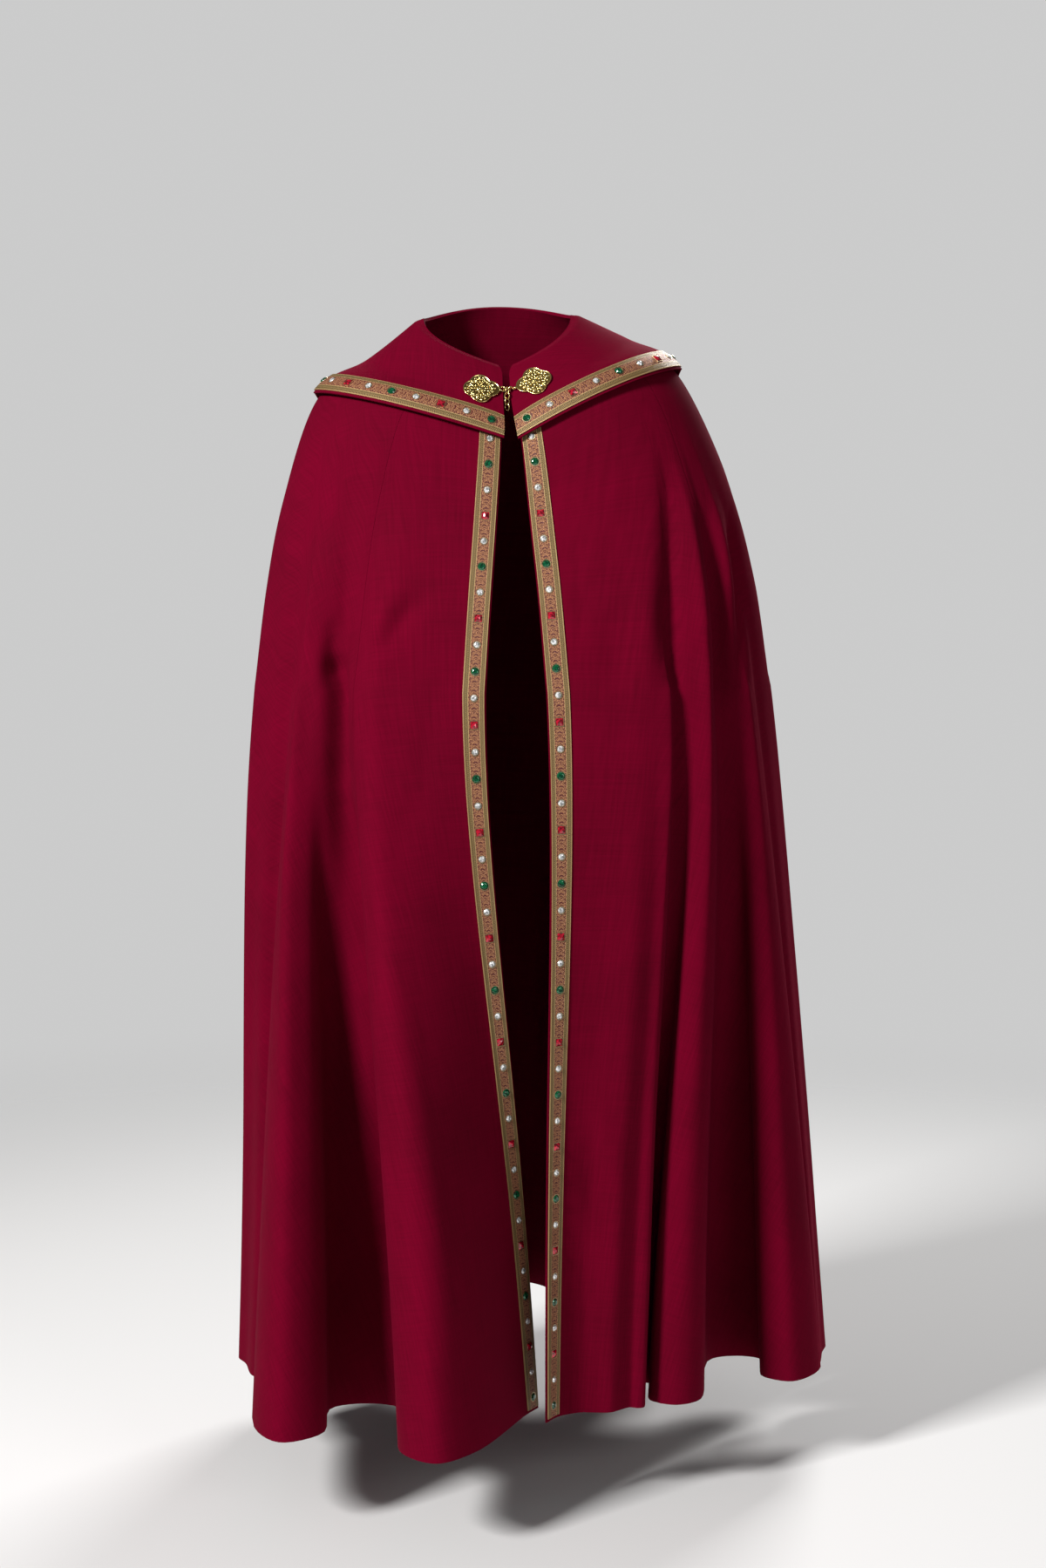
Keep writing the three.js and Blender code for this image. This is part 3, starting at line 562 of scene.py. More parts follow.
# A band over a strip of cloth: grid rows run along the band and columns across it
def bandStrip(name, grid, normals):
    lifted = grid + normals * (galloon["lift"] + galloon["wall"])
    steps = np.linalg.norm(np.diff(lifted.mean(1), axis=0), axis=-1)
    walked = np.concatenate([[0], np.cumsum(steps)])
    across = np.linspace(0, 1, grid.shape[1]) * cut["bandWidth"]
    flat = np.stack(np.broadcast_arrays(across[None], walked[:, None]), -1) * mm
    piece = gridShell(f"{name}_galloon", f"{name}_band", lifted, flat, galloon["wall"])
    middle = grid.shape[1] // 2
    return {"piece": piece, "line": lifted[:, middle], "outward": normals[:, middle], "walked": walked}


def frontBand(right):
    across = np.linspace(0, 1, galloon["columns"] + 1)
    hemLevel = cut["hemLevel"] - galloon["hemGap"] / (cut["waistZ"] - cut["hemZ"])
    levels = np.concatenate([np.linspace(galloon["topLevel"], cut["waistLevel"], galloon["upperRows"])[:-1],
                             np.linspace(cut["waistLevel"], hemLevel, galloon["lowerRows"])])
    grid, normals = creasedCloth(across if right else (lastStation - across)[::-1], levels)
    return bandStrip("right_front" if right else "left_front", grid, normals)


def collarBandStrip():
    grid, _ = collarRows(collarCut["rows"], -1)
    normals = gridNormals(grid)
    return bandStrip("collar", grid.transpose(1, 0, 2)[:, ::-1], normals.transpose(1, 0, 2)[:, ::-1])


rightBand = frontBand(True)
leftBand = frontBand(False)
collarBand = collarBandStrip()
print("galloon made")

# Stones along the bands, each with its own cut and a metal rim
stoneCut = {"pitch": 33.5, "frontStart": 15, "frontCount": 38, "collarStart": 17, "order": "gcrc",
            "rimWide": 0.5, "rimTall": 0.9, "rimSteps": 24, "rimLip": 0.1, "rimDeep": 0.5,
            "squareRim": 1.4, "sink": 0.3, "ahead": 3, "girdle": 0.92, "facetRise": 0.25,
            "squarePeak": 0.9, "tableIn": 0.5, "tableRise": 0.15, "tableSink": 0.12}
stoneKinds = {
    "g": {"name": "green", "radius": 6.0, "table": 3.2, "tall": 2.4, "sides": 12},
    "c": {"name": "clear", "radius": 4.8, "table": 2.4, "tall": 2.3, "sides": 12},
    "r": {"name": "red", "radius": 7.9, "table": 3.0, "tall": 2.7, "sides": 4},
}
quarterTurn = Matrix.Rotation(math.pi / 4, 4, "Z")
toMetres = Matrix.Scale(mm, 4)


# Adds a ready mesh to a bmesh, turned and moved by a matrix
def stamp(bm, mesh, matrix):
    before = len(bm.verts)
    bm.from_mesh(mesh)
    bm.verts.ensure_lookup_table()
    bmesh.ops.transform(bm, matrix=matrix, verts=bm.verts[before:])


def stoneMesh(kind):
    bm = bmesh.new()
    square = kind["sides"] == 4
    lift = Matrix.Translation((0, 0, kind["tall"] / 2))
    bmesh.ops.create_cone(bm, cap_ends=True, segments=kind["sides"],
                          radius1=kind["radius"] * stoneCut["girdle"], radius2=kind["table"],
                          depth=kind["tall"], matrix=quarterTurn @ lift if square else lift)
    sides = [face for face in bm.faces if abs(face.normal.z) < 0.95]
    bmesh.ops.poke(bm, faces=sides, offset=stoneCut["facetRise"])
    top = [face for face in bm.faces if face.normal.z > 0.95]
    if square:
        bmesh.ops.poke(bm, faces=top, offset=stoneCut["squarePeak"])
    else:
        bmesh.ops.inset_region(bm, faces=top, thickness=stoneCut["tableIn"], depth=stoneCut["tableRise"])
        crown = [face for face in bm.faces if face.normal.z > 0.98 and len(face.verts) > 4]
        bmesh.ops.poke(bm, faces=crown, offset=-stoneCut["tableSink"])
    return newMesh(f"{kind['name']}Cut", bm)


# Raises the one face of a bmesh into a closed plate and returns the face on top
def raiseFace(bm, height):
    grown = bmesh.ops.extrude_face_region(bm, geom=bm.faces[:])
    raised = [item for item in grown["geom"] if isinstance(item, bmesh.types.BMVert)]
    bmesh.ops.translate(bm, vec=(0, 0, height), verts=raised)
    bmesh.ops.recalc_face_normals(bm, faces=bm.faces)
    return max(bm.faces, key=lambda face: face.calc_center_median().z)


# Steps on a top face, each given as a width inwards and a rise
def insetSteps(bm, top, steps):
    for inward, rise in steps:
        bmesh.ops.inset_region(bm, faces=[top], thickness=inward, depth=rise)


# The thin metal rim that holds a stone, round or square
def rimMesh(kind):
    bm = bmesh.new()
    square = kind["sides"] == 4
    rimWide = stoneCut["rimWide"] * (stoneCut["squareRim"] if square else 1)
    foot = kind["radius"] * stoneCut["girdle"] + rimWide
    steps = 4 if square else stoneCut["rimSteps"]
    bmesh.ops.create_circle(bm, cap_ends=True, segments=steps, radius=foot,
                            matrix=quarterTurn if square else Matrix())
    top = raiseFace(bm, stoneCut["rimTall"])
    insetSteps(bm, top, ((stoneCut["rimWide"], 0), (stoneCut["rimLip"], -stoneCut["rimDeep"])))
    return newMesh(f"{kind['name']}Rim", bm)


stoneMeshes = {key: stoneMesh(kind) for key, kind in stoneKinds.items()}
rimMeshes = {key: rimMesh(kind) for key, kind in stoneKinds.items()}


# A matrix from its three directions and its place
def frameOf(across, along, up, place):
    matrix = Matrix([[*row, 0] for row in np.stack([across, along, up], 1).tolist()] + [[0, 0, 0, 1]])
    matrix.translation = Vector(place)
    return matrix


# Places on a band's centre line, as matrices, at distances walked along it
def bandPlaces(band, distances):
    def at(distance, values):
        return np.array([np.interp(distance, band["walked"], values[:, k]) for k in range(3)])

    places = []
    for distance in distances:
        point = at(distance, band["line"])
        step = at(distance + stoneCut["ahead"], band["line"]) - point
        up = unit(at(distance, band["outward"]))
        along = unit(step - up * np.dot(step, up))
        places.append(frameOf(np.cross(along, up), along, up, point - up * stoneCut["sink"]))
    return places


def setStones():
    work = {name: bmesh.new() for name in ("green", "clear", "red", "rim")}
    pitch, total = stoneCut["pitch"], collarBand["walked"][-1]
    half = int((total / 2 - stoneCut["collarStart"]) // pitch) + 1
    near = [stoneCut["collarStart"] + pitch * i for i in range(half)]
    spots = [bandPlaces(band, [band["walked"][-1] - stoneCut["frontStart"] - pitch * i
                               for i in range(stoneCut["frontCount"])]) for band in (rightBand, leftBand)]
    spots += [bandPlaces(collarBand, near), bandPlaces(collarBand, [total - distance for distance in near])]
    for places in spots:
        for i, place in enumerate(places):
            key = stoneCut["order"][i % len(stoneCut["order"])]
            stamp(work[stoneKinds[key]["name"]], stoneMeshes[key], toMetres @ place)
            stamp(work["rim"], rimMeshes[key], toMetres @ place)
    return {name: declare(newPiece(f"stones_{name}", newMesh(f"stones_{name}", bm)))
            for name, bm in work.items()}


stones = setStones()
print("stones set")


# Clasp: two lobed plates, an eye, a ring, a hook and the tail of chain
clasp = {"reach": 22.4, "tipReach": 25, "waist": 18.4, "lobeSoftness": 1.1, "outlineSteps": 96, "thick": 1.8,
         "underEdge": 0.3, "lift": 0.9, "placeSpan": 0.02, "levelSpan": 0.35, "wire": 0.85, "eyeRadius": 3.4,
         "eyeSink": 0.4, "ringRadius": 4.6, "hookRadius": 2.6, "hookSweep": 250, "hookStep": 25,
         "hookRoot": -1.2, "ballOut": 1.5, "ballRadius": 2.1, "tipBall": 1.0, "chainGap": 0.45,
         "linkTall": 4.5, "linkWide": 3.7, "linkTurns": [62, -38, 48, -42]}
seats = [{"place": 0.0222, "level": 0.88, "tilt": 4}, {"place": 0.9695, "level": 0.81, "tilt": 196}]
# The relief on a plate: sizes, and how far each part's middle is above the sunk floor
filigree = {"rimWide": 1.4, "bevel": 0.35, "dish": 0.8, "domeOut": 5.4, "domeUp": 0.2, "domeFlat": 0.3,
            "petals": 10, "petalOut": 6.7, "petalUp": 0.8, "petal": 1.45, "petalLong": 1.25,
            "petalFlat": 0.75, "pitOut": 1.9, "pitUp": 1.7, "pitFlat": 0.25, "scroll": 2.3,
            "scrollWire": 0.75, "scrollOut": 13.0, "scrollSide": 3.6, "scrollUp": 0.8, "scrollStart": 180,
            "scrollLead": 20, "scrollSweep": 290, "leafUp": 0.7, "leafFlat": 0.8}
rings = table(["radius", "wire", "up", "steps"], [[3.9, 0.6, 1.35, 36], [1.9, 0.65, 1.75, 24]])
# Leaves of the relief in one quarter of a plate: place out and to the side, size, length and turn
leaves = table(
    ["out", "side", "size", "long", "turn"],
    [
        [17.6, 0, 1.7, 1.7, 0],
        [10.6, 0, 1.5, 1.6, 0],
        [14.6, 0, 1.1, 1.3, 0],
        [9.6, 4.3, 1.5, 1.9, 60],
        [9.6, -4.3, 1.5, 1.9, -60],
        [16.0, 5.1, 1.4, 1.8, -55],
        [16.0, -5.1, 1.4, 1.8, 55],
        [11.7, 7.6, 1.5, 1.7, 100],
        [11.7, -7.6, 1.5, 1.7, -100],
        [9.4, 9.4, 2.0, 1.3, 45],
        [12.1, 10.6, 1.2, 1.5, 130],
        [13.0, 3.6, 1.3, 1.0, 0],
        [13.0, -3.6, 1.3, 1.0, 0],
    ],
)


def plateFrame(seat):
    place, level = np.array([seat["place"]]), np.array([seat["level"]])
    normal = surfaceNormal(collarPoint, place, level, clasp["placeSpan"], clasp["levelSpan"])[0]
    across = unit(np.array([1.0, 0, 0]) - normal * normal[0])
    turn = math.radians(seat["tilt"])
    along = across * math.cos(turn) + np.cross(normal, across) * math.sin(turn)
    point = collarPoint(place, level)[0] + normal * clasp["lift"]
    return frameOf(along, np.cross(normal, along), normal, point)


def plateRadius(turn):
    reach = clasp["tipReach"] if math.cos(turn) > math.cos(math.pi / 4) else clasp["reach"]
    return clasp["waist"] + (reach - clasp["waist"]) * abs(math.cos(2 * turn)) ** clasp["lobeSoftness"]


# A wire bent round part of a circle in the plate's plane, closed at its ends
def arcWire(bm, centre, radius, wire, start=0, sweep=360, steps=16):
    before = set(bm.faces)
    turn = math.radians(start)
    spot = Matrix.Translation((centre[0] + radius * math.cos(turn), centre[1] + radius * math.sin(turn),
                               centre[2]))
    stand = Matrix.Rotation(turn, 4, "Z") @ Matrix.Rotation(math.pi / 2, 4, "X")
    whole = abs(sweep) >= 360
    made = bmesh.ops.create_circle(bm, cap_ends=not whole, segments=8, radius=wire, matrix=spot @ stand)
    geom = made["verts"] + list({edge for vert in made["verts"] for edge in vert.link_edges})
    bmesh.ops.spin(bm, geom=geom, cent=centre, axis=(0, 0, 1), angle=math.radians(sweep), steps=steps,
                   use_merge=whole, use_normal_flip=False)
    bmesh.ops.holes_fill(bm, edges=[edge for edge in bm.edges if edge.is_boundary], sides=8)
    bmesh.ops.recalc_face_normals(bm, faces=[face for face in bm.faces if face not in before])


def bead(bm, centre, radius, long=1.0, turn=0.0, flat=1.0):
    spot = Matrix.Translation(centre) @ Matrix.Rotation(turn, 4, "Z") @ Matrix.Diagonal((long, 1, flat, 1))
    return bmesh.ops.create_uvsphere(bm, u_segments=12, v_segments=8, radius=radius, matrix=spot)["verts"]


def addRelief(bm, floor):
    size = filigree
    bead(bm, (0, 0, floor + size["domeUp"]), size["domeOut"], flat=size["domeFlat"])
    for ring in rings:
        arcWire(bm, (0, 0, floor + ring["up"]), ring["radius"], ring["wire"], steps=ring["steps"])
    for i in range(size["petals"]):
        turn = 2 * math.pi * i / size["petals"]
        bead(bm, (size["petalOut"] * math.cos(turn), size["petalOut"] * math.sin(turn),
                  floor + size["petalUp"]), size["petal"], size["petalLong"], turn, size["petalFlat"])
    for quarter in range(4):
        turn = math.pi / 2 * quarter
        spin = Matrix.Translation((0, 0, floor)) @ Matrix.Rotation(turn, 4, "Z")
        for side in (-1, 1):
            arcWire(bm, spin @ Vector((size["scrollOut"], side * size["scrollSide"], size["scrollUp"])),
                    size["scroll"], size["scrollWire"],
                    math.degrees(turn) + size["scrollStart"] + side * size["scrollLead"],
                    side * -size["scrollSweep"], 18)
        for leaf in leaves:
            bead(bm, spin @ Vector((leaf["out"], leaf["side"], size["leafUp"])), leaf["size"], leaf["long"],
                 turn + math.radians(leaf["turn"]), size["leafFlat"])


def plateMesh(name, eye):
    bm = bmesh.new()
    outline = []
    for i in range(clasp["outlineSteps"]):
        turn = 2 * math.pi * i / clasp["outlineSteps"]
        reach = plateRadius(turn) - clasp["underEdge"]
        outline.append(bm.verts.new((reach * math.cos(turn), reach * math.sin(turn), 0)))
    bm.faces.new(outline)
    top = raiseFace(bm, clasp["thick"] - clasp["underEdge"])
    bevel = filigree["bevel"]
    insetSteps(bm, top, ((bevel, bevel), (filigree["rimWide"] - 2 * bevel, 0), (bevel, -filigree["dish"])))
    # The sunk floor takes the second, dark finish: painted shade for the dark gaps of the openwork
    top.material_index = 1
    floor = clasp["thick"] - filigree["dish"]
    addRelief(bm, floor)
    if eye:
        centre = (clasp["tipReach"] + clasp["eyeRadius"] - clasp["eyeSink"], 0, clasp["thick"] / 2)
        arcWire(bm, centre, clasp["eyeRadius"], clasp["wire"], steps=28)
    for face in bm.faces:
        face.smooth = face.material_index == 0
    # A flat bead in the middle takes the dark finish too: a painted shadow for the pit
    for vert in bead(bm, (0, 0, floor + filigree["pitUp"]), filigree["pitOut"], flat=filigree["pitFlat"]):
        for face in vert.link_faces:
            face.material_index = 1
            face.smooth = True
    return newMesh(name, bm)


frames = [plateFrame(seat) for seat in seats]


def tipPoint(frameMatrix, beyond):
    return frameMatrix @ Vector((clasp["tipReach"] + beyond, 0, clasp["thick"] / 2))


eyeCentre = tipPoint(frames[0], clasp["eyeRadius"] - clasp["eyeSink"])
ringCentre = eyeCentre + Vector((clasp["eyeRadius"] - 2 * clasp["wire"] - clasp["chainGap"]
                                 + clasp["ringRadius"], 0, 0))
ringEnd = ringCentre + Vector((clasp["ringRadius"], 0, 0))
tailTop = ringCentre - Vector((0, clasp["ringRadius"], 0))


def makePlates():
    made = []
    for name, matrix, eye in (("right", frames[0], True), ("left", frames[1], False)):
        mesh = plateMesh(f"clasp_{name}", eye)
        mesh.transform(toMetres @ matrix)
        made.append(declare(newPiece(f"clasp_{name}_gilt", mesh), f"clasp_plate_{name}"))
    return made


# The hook: a bent wire through the ring, with a ball at its root and a small one on its tip
def makeHook():
    turns = [math.radians(a) for a in range(0, clasp["hookSweep"] + 1, clasp["hookStep"])]
    points = [tipPoint(frames[1], clasp["hookRoot"])]
    points += [ringEnd + Vector((clasp["hookRadius"] * math.cos(a), 0, clasp["hookRadius"] * math.sin(a)))
               for a in turns]
    curve = bpy.data.curves.new("hookPath", "CURVE")
    curve.dimensions = "3D"
    curve.bevel_depth = clasp["wire"] * mm
    curve.bevel_resolution = 3
    curve.use_fill_caps = True
    spline = curve.splines.new("BEZIER")
    spline.bezier_points.add(len(points) - 1)
    for knot, point in zip(spline.bezier_points, points):
        knot.co = point * mm
        knot.handle_left_type = knot.handle_right_type = "AUTO"
    holder = newPiece("hookHolder", curve)
    graph = bpy.context.evaluated_depsgraph_get()
    bm = bmesh.new()
    bm.from_mesh(holder.evaluated_get(graph).to_mesh())
    for point, radius, across, down in ((tipPoint(frames[1], clasp["ballOut"]), clasp["ballRadius"], 16, 10),
                                        (points[-1], clasp["tipBall"], 12, 8)):
        bmesh.ops.create_uvsphere(bm, u_segments=across, v_segments=down, radius=radius * mm,
                                  matrix=Matrix.Translation(point * mm))
    bpy.data.objects.remove(holder)
    return declare(newPiece("clasp_hook_gilt", newMesh("clasp_hook", bm, smoothed=True)))


def makeRing():
    bm = bmesh.new()
    arcWire(bm, (0, 0, 0), clasp["ringRadius"], clasp["wire"], steps=32)
    bmesh.ops.transform(bm, matrix=toMetres @ Matrix.Translation(ringCentre), verts=bm.verts)
    mesh = newMesh("clasp_ring", bm, smoothed=True)
    return declare(newPiece("clasp_ring_gilt", mesh), "clasp_ring")


def makeLinks():
    made = []
    inside = clasp["linkTall"] - 2 * clasp["wire"] - clasp["chainGap"]
    for i, turn in enumerate(clasp["linkTurns"]):
        bm = bmesh.new()
        arcWire(bm, (0, 0, 0), clasp["linkWide"], clasp["wire"], steps=32)
        for vert in bm.verts:
            share = max(-1, min(1, vert.co.y / clasp["linkWide"]))
            vert.co.y += share * (clasp["linkTall"] - clasp["linkWide"])
        drop = inside + i * (clasp["linkTall"] + inside)
        place = (Matrix.Translation(tailTop - Vector((0, 0, drop)))
                 @ Matrix.Rotation(math.radians(turn), 4, "Z") @ Matrix.Rotation(math.pi / 2, 4, "X"))
        bmesh.ops.transform(bm, matrix=toMetres @ place, verts=bm.verts)
        name = f"chain_link_{i + 1}"
        piece = newPiece(name, newMesh(name, bm, smoothed=True))
        made.append(declare(piece, f"tail_link_{i + 1}", f"tail_{i + 1}"))
    return made


plates = makePlates()
gilt = plates + [makeHook(), makeRing()] + makeLinks()
print("clasp made")


# Shader nodes. Inputs are given by name or number: a socket is linked and a value is set
def feed(node, values):
    for key, value in values.items():
        if isinstance(value, bpy.types.NodeSocket):
            node.id_data.links.new(value, node.inputs[key])
        else:
            node.inputs[key].default_value = value


# One math node, in the tree of the first socket that it is given
def calc(operation, *values, clamp=False):
    tree = next(value.id_data for value in values if isinstance(value, bpy.types.NodeSocket))
    node = tree.nodes.new("ShaderNodeMath")
    node.operation = operation
    node.use_clamp = clamp
    feed(node, dict(enumerate(values)))
    return node.outputs[0]


def plus(a, b):
    return calc("ADD", a, b)


def minus(a, b):
    return calc("SUBTRACT", a, b)


def times(a, b):
    return calc("MULTIPLY", a, b)


def blendColours(share, low, high):
    node = share.id_data.nodes.new("ShaderNodeMix")
    node.data_type = "RGBA"
    feed(node, {"Factor": share, 6: low, 7: high})
    return node.outputs[2]


def mapRange(value, low, high, outLow=0.0, outHigh=1.0):
    node = value.id_data.nodes.new("ShaderNodeMapRange")
    node.interpolation_type = "SMOOTHSTEP"
    feed(node, {"Value": value, "From Min": low, "From Max": high, "To Min": outLow, "To Max": outHigh})
    return node.outputs["Result"]


def noiseAt(vector, scale, detail=2.0, roughness=0.5):
    node = vector.id_data.nodes.new("ShaderNodeTexNoise")
    feed(node, {"Vector": vector, "Scale": scale, "Detail": detail, "Roughness": roughness})
    return node.outputs["Fac"]


def stretched(vector, x, y):
    node = vector.id_data.nodes.new("ShaderNodeMapping")
    feed(node, {"Vector": vector, "Scale": (x, y, 1)})
    return node.outputs["Vector"]


def splitXY(vector):
    node = vector.id_data.nodes.new("ShaderNodeSeparateXYZ")
    feed(node, {0: vector})
    return node.outputs[0], node.outputs[1]


# A shader group: build is given its inputs and answers with its outputs, by name
def newGroup(name, inputs, outputs, build):
    group = bpy.data.node_groups.new(name, "ShaderNodeTree")
    for way, sockets in (("INPUT", inputs), ("OUTPUT", outputs)):
        for label, kind in sockets.items():
            group.interface.new_socket(label, in_out=way, socket_type=f"NodeSocket{kind}")
    given = group.nodes.new("NodeGroupInput").outputs
    feed(group.nodes.new("NodeGroupOutput"), build(given))
    return group


def placeGroup(group, **values):
    tree = next(value.id_data for value in values.values() if isinstance(value, bpy.types.NodeSocket))
    node = tree.nodes.new("ShaderNodeGroup")
    node.node_tree = group
    feed(node, values)
    return node.outputs


# Plain weave on a flat cut in metres: thread height, and slubs along the warp and the weft
weaveLook = {"warp": (13, 420), "weft": (460, 18), "slubDetail": 2.0, "slubRoughness": 0.6,
             "warpShare": 0.6, "weftShare": 0.4, "threadHeight": 0.25, "threadShade": 0.08,
             "slubShade": 0.9}


def buildWeave(given):
    look, flat = weaveLook, given["Flat"]
    x, y = splitXY(flat)
    threads = times(calc("SINE", times(y, given["Threads"])), calc("SINE", times(x, given["Threads"])))
    along, over = (noiseAt(stretched(flat, *look[way]), 1.0, look["slubDetail"], look["slubRoughness"])
                   for way in ("warp", "weft"))
    slubs = plus(times(along, look["warpShare"]), times(over, look["weftShare"]))
    raised = times(minus(slubs, 0.5), given["Slubs"])
    return {"Height": plus(times(threads, look["threadHeight"]), raised),
            "Shade": plus(times(threads, look["threadShade"]), times(raised, look["slubShade"]))}


# Painted shade on gilt, low in its hollows and high on its ridges by the mesh's pointiness, times tarnish
# patches, and its fine grain
shadeAndTarnishLook = {"tarnish": 260, "tarnishDetail": 3.0, "hollow": 0.44, "unshaded": 0.52, "grain": 900}


def buildShadeAndTarnish(given):
    look = shadeAndTarnishLook
    tarnish = mapRange(noiseAt(given["Place"], look["tarnish"], look["tarnishDetail"]), 0.25, 0.6, 0.75, 1.0)
    # Low in the hollows as painted shade, and lowered further by tarnish patches
    return {"FreeOfShadeAndTarnish": times(mapRange(given["Hollow"], look["hollow"], look["unshaded"]), tarnish),
            "Grain": noiseAt(given["Place"], look["grain"])}


# Painted glints and painted shade inside cut glass: bright and dark flashes in its colour
paintedFlashScale = 380


def buildPaintedFlashes(given):
    return {"PaintedFlash": mapRange(noiseAt(given["Place"], paintedFlashScale, 1.0), 0.35, 0.65)}


weave = newGroup("plainWeave", {"Flat": "Vector", "Threads": "Float", "Slubs": "Float"},
                 {"Height": "Float", "Shade": "Float"}, buildWeave)
giltShadeAndTarnish = newGroup("giltShadeAndTarnish", {"Place": "Vector", "Hollow": "Float"},
                    {"FreeOfShadeAndTarnish": "Float", "Grain": "Float"}, buildShadeAndTarnish)
paintedGlassFlashes = newGroup("paintedGlassFlashes", {"Place": "Vector"}, {"PaintedFlash": "Float"}, buildPaintedFlashes)


def newFinish(name):
    material = bpy.data.materials.new(name)
    material.use_nodes = True
    return material, material.node_tree, material.node_tree.nodes["Principled BSDF"]


def flatPlace(tree):
    node = tree.nodes.new("ShaderNodeUVMap")
    node.uv_map = "flat"
    return node.outputs["UV"]


def objectPlace(tree):
    return tree.nodes.new("ShaderNodeTexCoord").outputs["Object"]


def bump(shader, height, strength, distance):
    node = shader.id_data.nodes.new("ShaderNodeBump")
    feed(node, {"Strength": strength, "Distance": distance, "Height": height})
    feed(shader, {"Normal": node.outputs["Normal"]})


crimson = {"deep": (0.07, 0.0002, 0.0065, 1), "bright": (0.155, 0.0005, 0.0150, 1), "roughness": 0.9,
           "roughSpread": 0.05, "specular": 0.03, "sheen": 0.1, "sheenRoughness": 0.35,
           "sheenTint": (1.0, 0.03, 0.14, 1), "threads": 7600, "slubs": 1.25, "bump": 0.3,
           "bumpHigh": 0.0004, "patches": 7.0, "patchDetail": 3.0, "patchRoughness": 0.55,
           "darkPatch": 0.42, "lightPatch": 0.62}


def crimsonCloth():
    material, tree, shader = newFinish("crimsonWool")
    flat, look = flatPlace(tree), crimson
    threads = placeGroup(weave, Flat=flat, Threads=look["threads"], Slubs=look["slubs"])
    patches = noiseAt(flat, look["patches"], look["patchDetail"], look["patchRoughness"])
    share = calc("ADD", mapRange(patches, 0.3, 0.7, look["darkPatch"], look["lightPatch"]),
                 threads["Shade"], clamp=True)
    smoothest, roughest = look["roughness"] - look["roughSpread"], look["roughness"] + look["roughSpread"]
    feed(shader, {"Base Color": blendColours(share, look["deep"], look["bright"]),
                  "Roughness": mapRange(patches, 0.3, 0.7, smoothest, roughest),
                  "Specular IOR Level": look["specular"], "Sheen Weight": look["sheen"],
                  "Sheen Roughness": look["sheenRoughness"], "Sheen Tint": look["sheenTint"]})
    bump(shader, threads["Height"], look["bump"], look["bumpHigh"])
    return material


# The galloon in millimetres: its parts across the band, its scrolls, ribs and cords, and its colours, with a
# painted shade colour for the slots between the ribs
braid = {"half": 13.5, "border": 7.1, "cord": 0.8, "rung": 1.9, "repeat": 11.1667, "stroke": 0.42,
         "strokeEdge": 0.22, "opening": 0.55, "rowsMiddle": 10.2, "rowGap": 0.35, "rowOut": 2.1,
         "slope": 0.7, "wobble": 1.7, "wobbleAcross": 330, "wobbleDown": 290, "edge": 0.15, "cordEdge": 0.1,
         "ground": (0.070, 0.002, 0.003, 1), "scroll": (0.42, 0.19, 0.085, 1),
         "slotShade": (0.034, 0.015, 0.005, 1), "gold": (0.26, 0.165, 0.055, 1),
         "cordGold": (0.40, 0.26, 0.11, 1), "threadScale": 1500, "threadHeight": 0.35, "metal": 0.28,
         "roughness": 0.5, "bump": 0.9, "bumpHigh": 0.0005}
# Open scrolls of one repeat: centre across and down, radius, and the side each one opens to
scrolls = table(
    ["across", "down", "radius", "openX", "openY"],
    [
        [3.3, 2.1, 1.9, -0.8, 0.6],
        [2.9, 6.6, 2.1, 0.8, -0.6],
        [5.5, 9.6, 1.4, -0.7, -0.7],
        [5.9, 4.9, 1.3, -0.6, 0.8],
        [0.6, 4.4, 1.3, 0.7, 0.7],
        [1.2, 9.6, 1.7, 0.6, 0.8],
        [5.6, 0.4, 1.1, 0.0, 1.0],
        [2.9, 6.6, 0.7, 0.0, -1.0],
        [3.3, 2.1, 0.6, 1.0, 0.0],
        [0.0, 0.5, 0.9, 0.0, 1.0],
    ],
)


# Distance to the nearest open scroll, in a cell that repeats down the band
def scrollDistance(across, down):
    nearest = None
    for scroll in scrolls:
        dx, dy = minus(across, scroll["across"]), minus(down, scroll["down"])
        square = calc("MULTIPLY_ADD", dx, dx, times(dy, dy))
        away = calc("ABSOLUTE", minus(calc("SQRT", square), scroll["radius"]))
        toward = calc("MULTIPLY_ADD", dx, scroll["openX"], times(dy, scroll["openY"]))
        away = calc("MAXIMUM", away, minus(toward, scroll["radius"] * braid["opening"]))
        nearest = away if nearest is None else calc("MINIMUM", nearest, away)
    return nearest


def between(value, low, high, edge):
    return times(mapRange(value, low - edge, low + edge), mapRange(value, high + edge, high - edge))


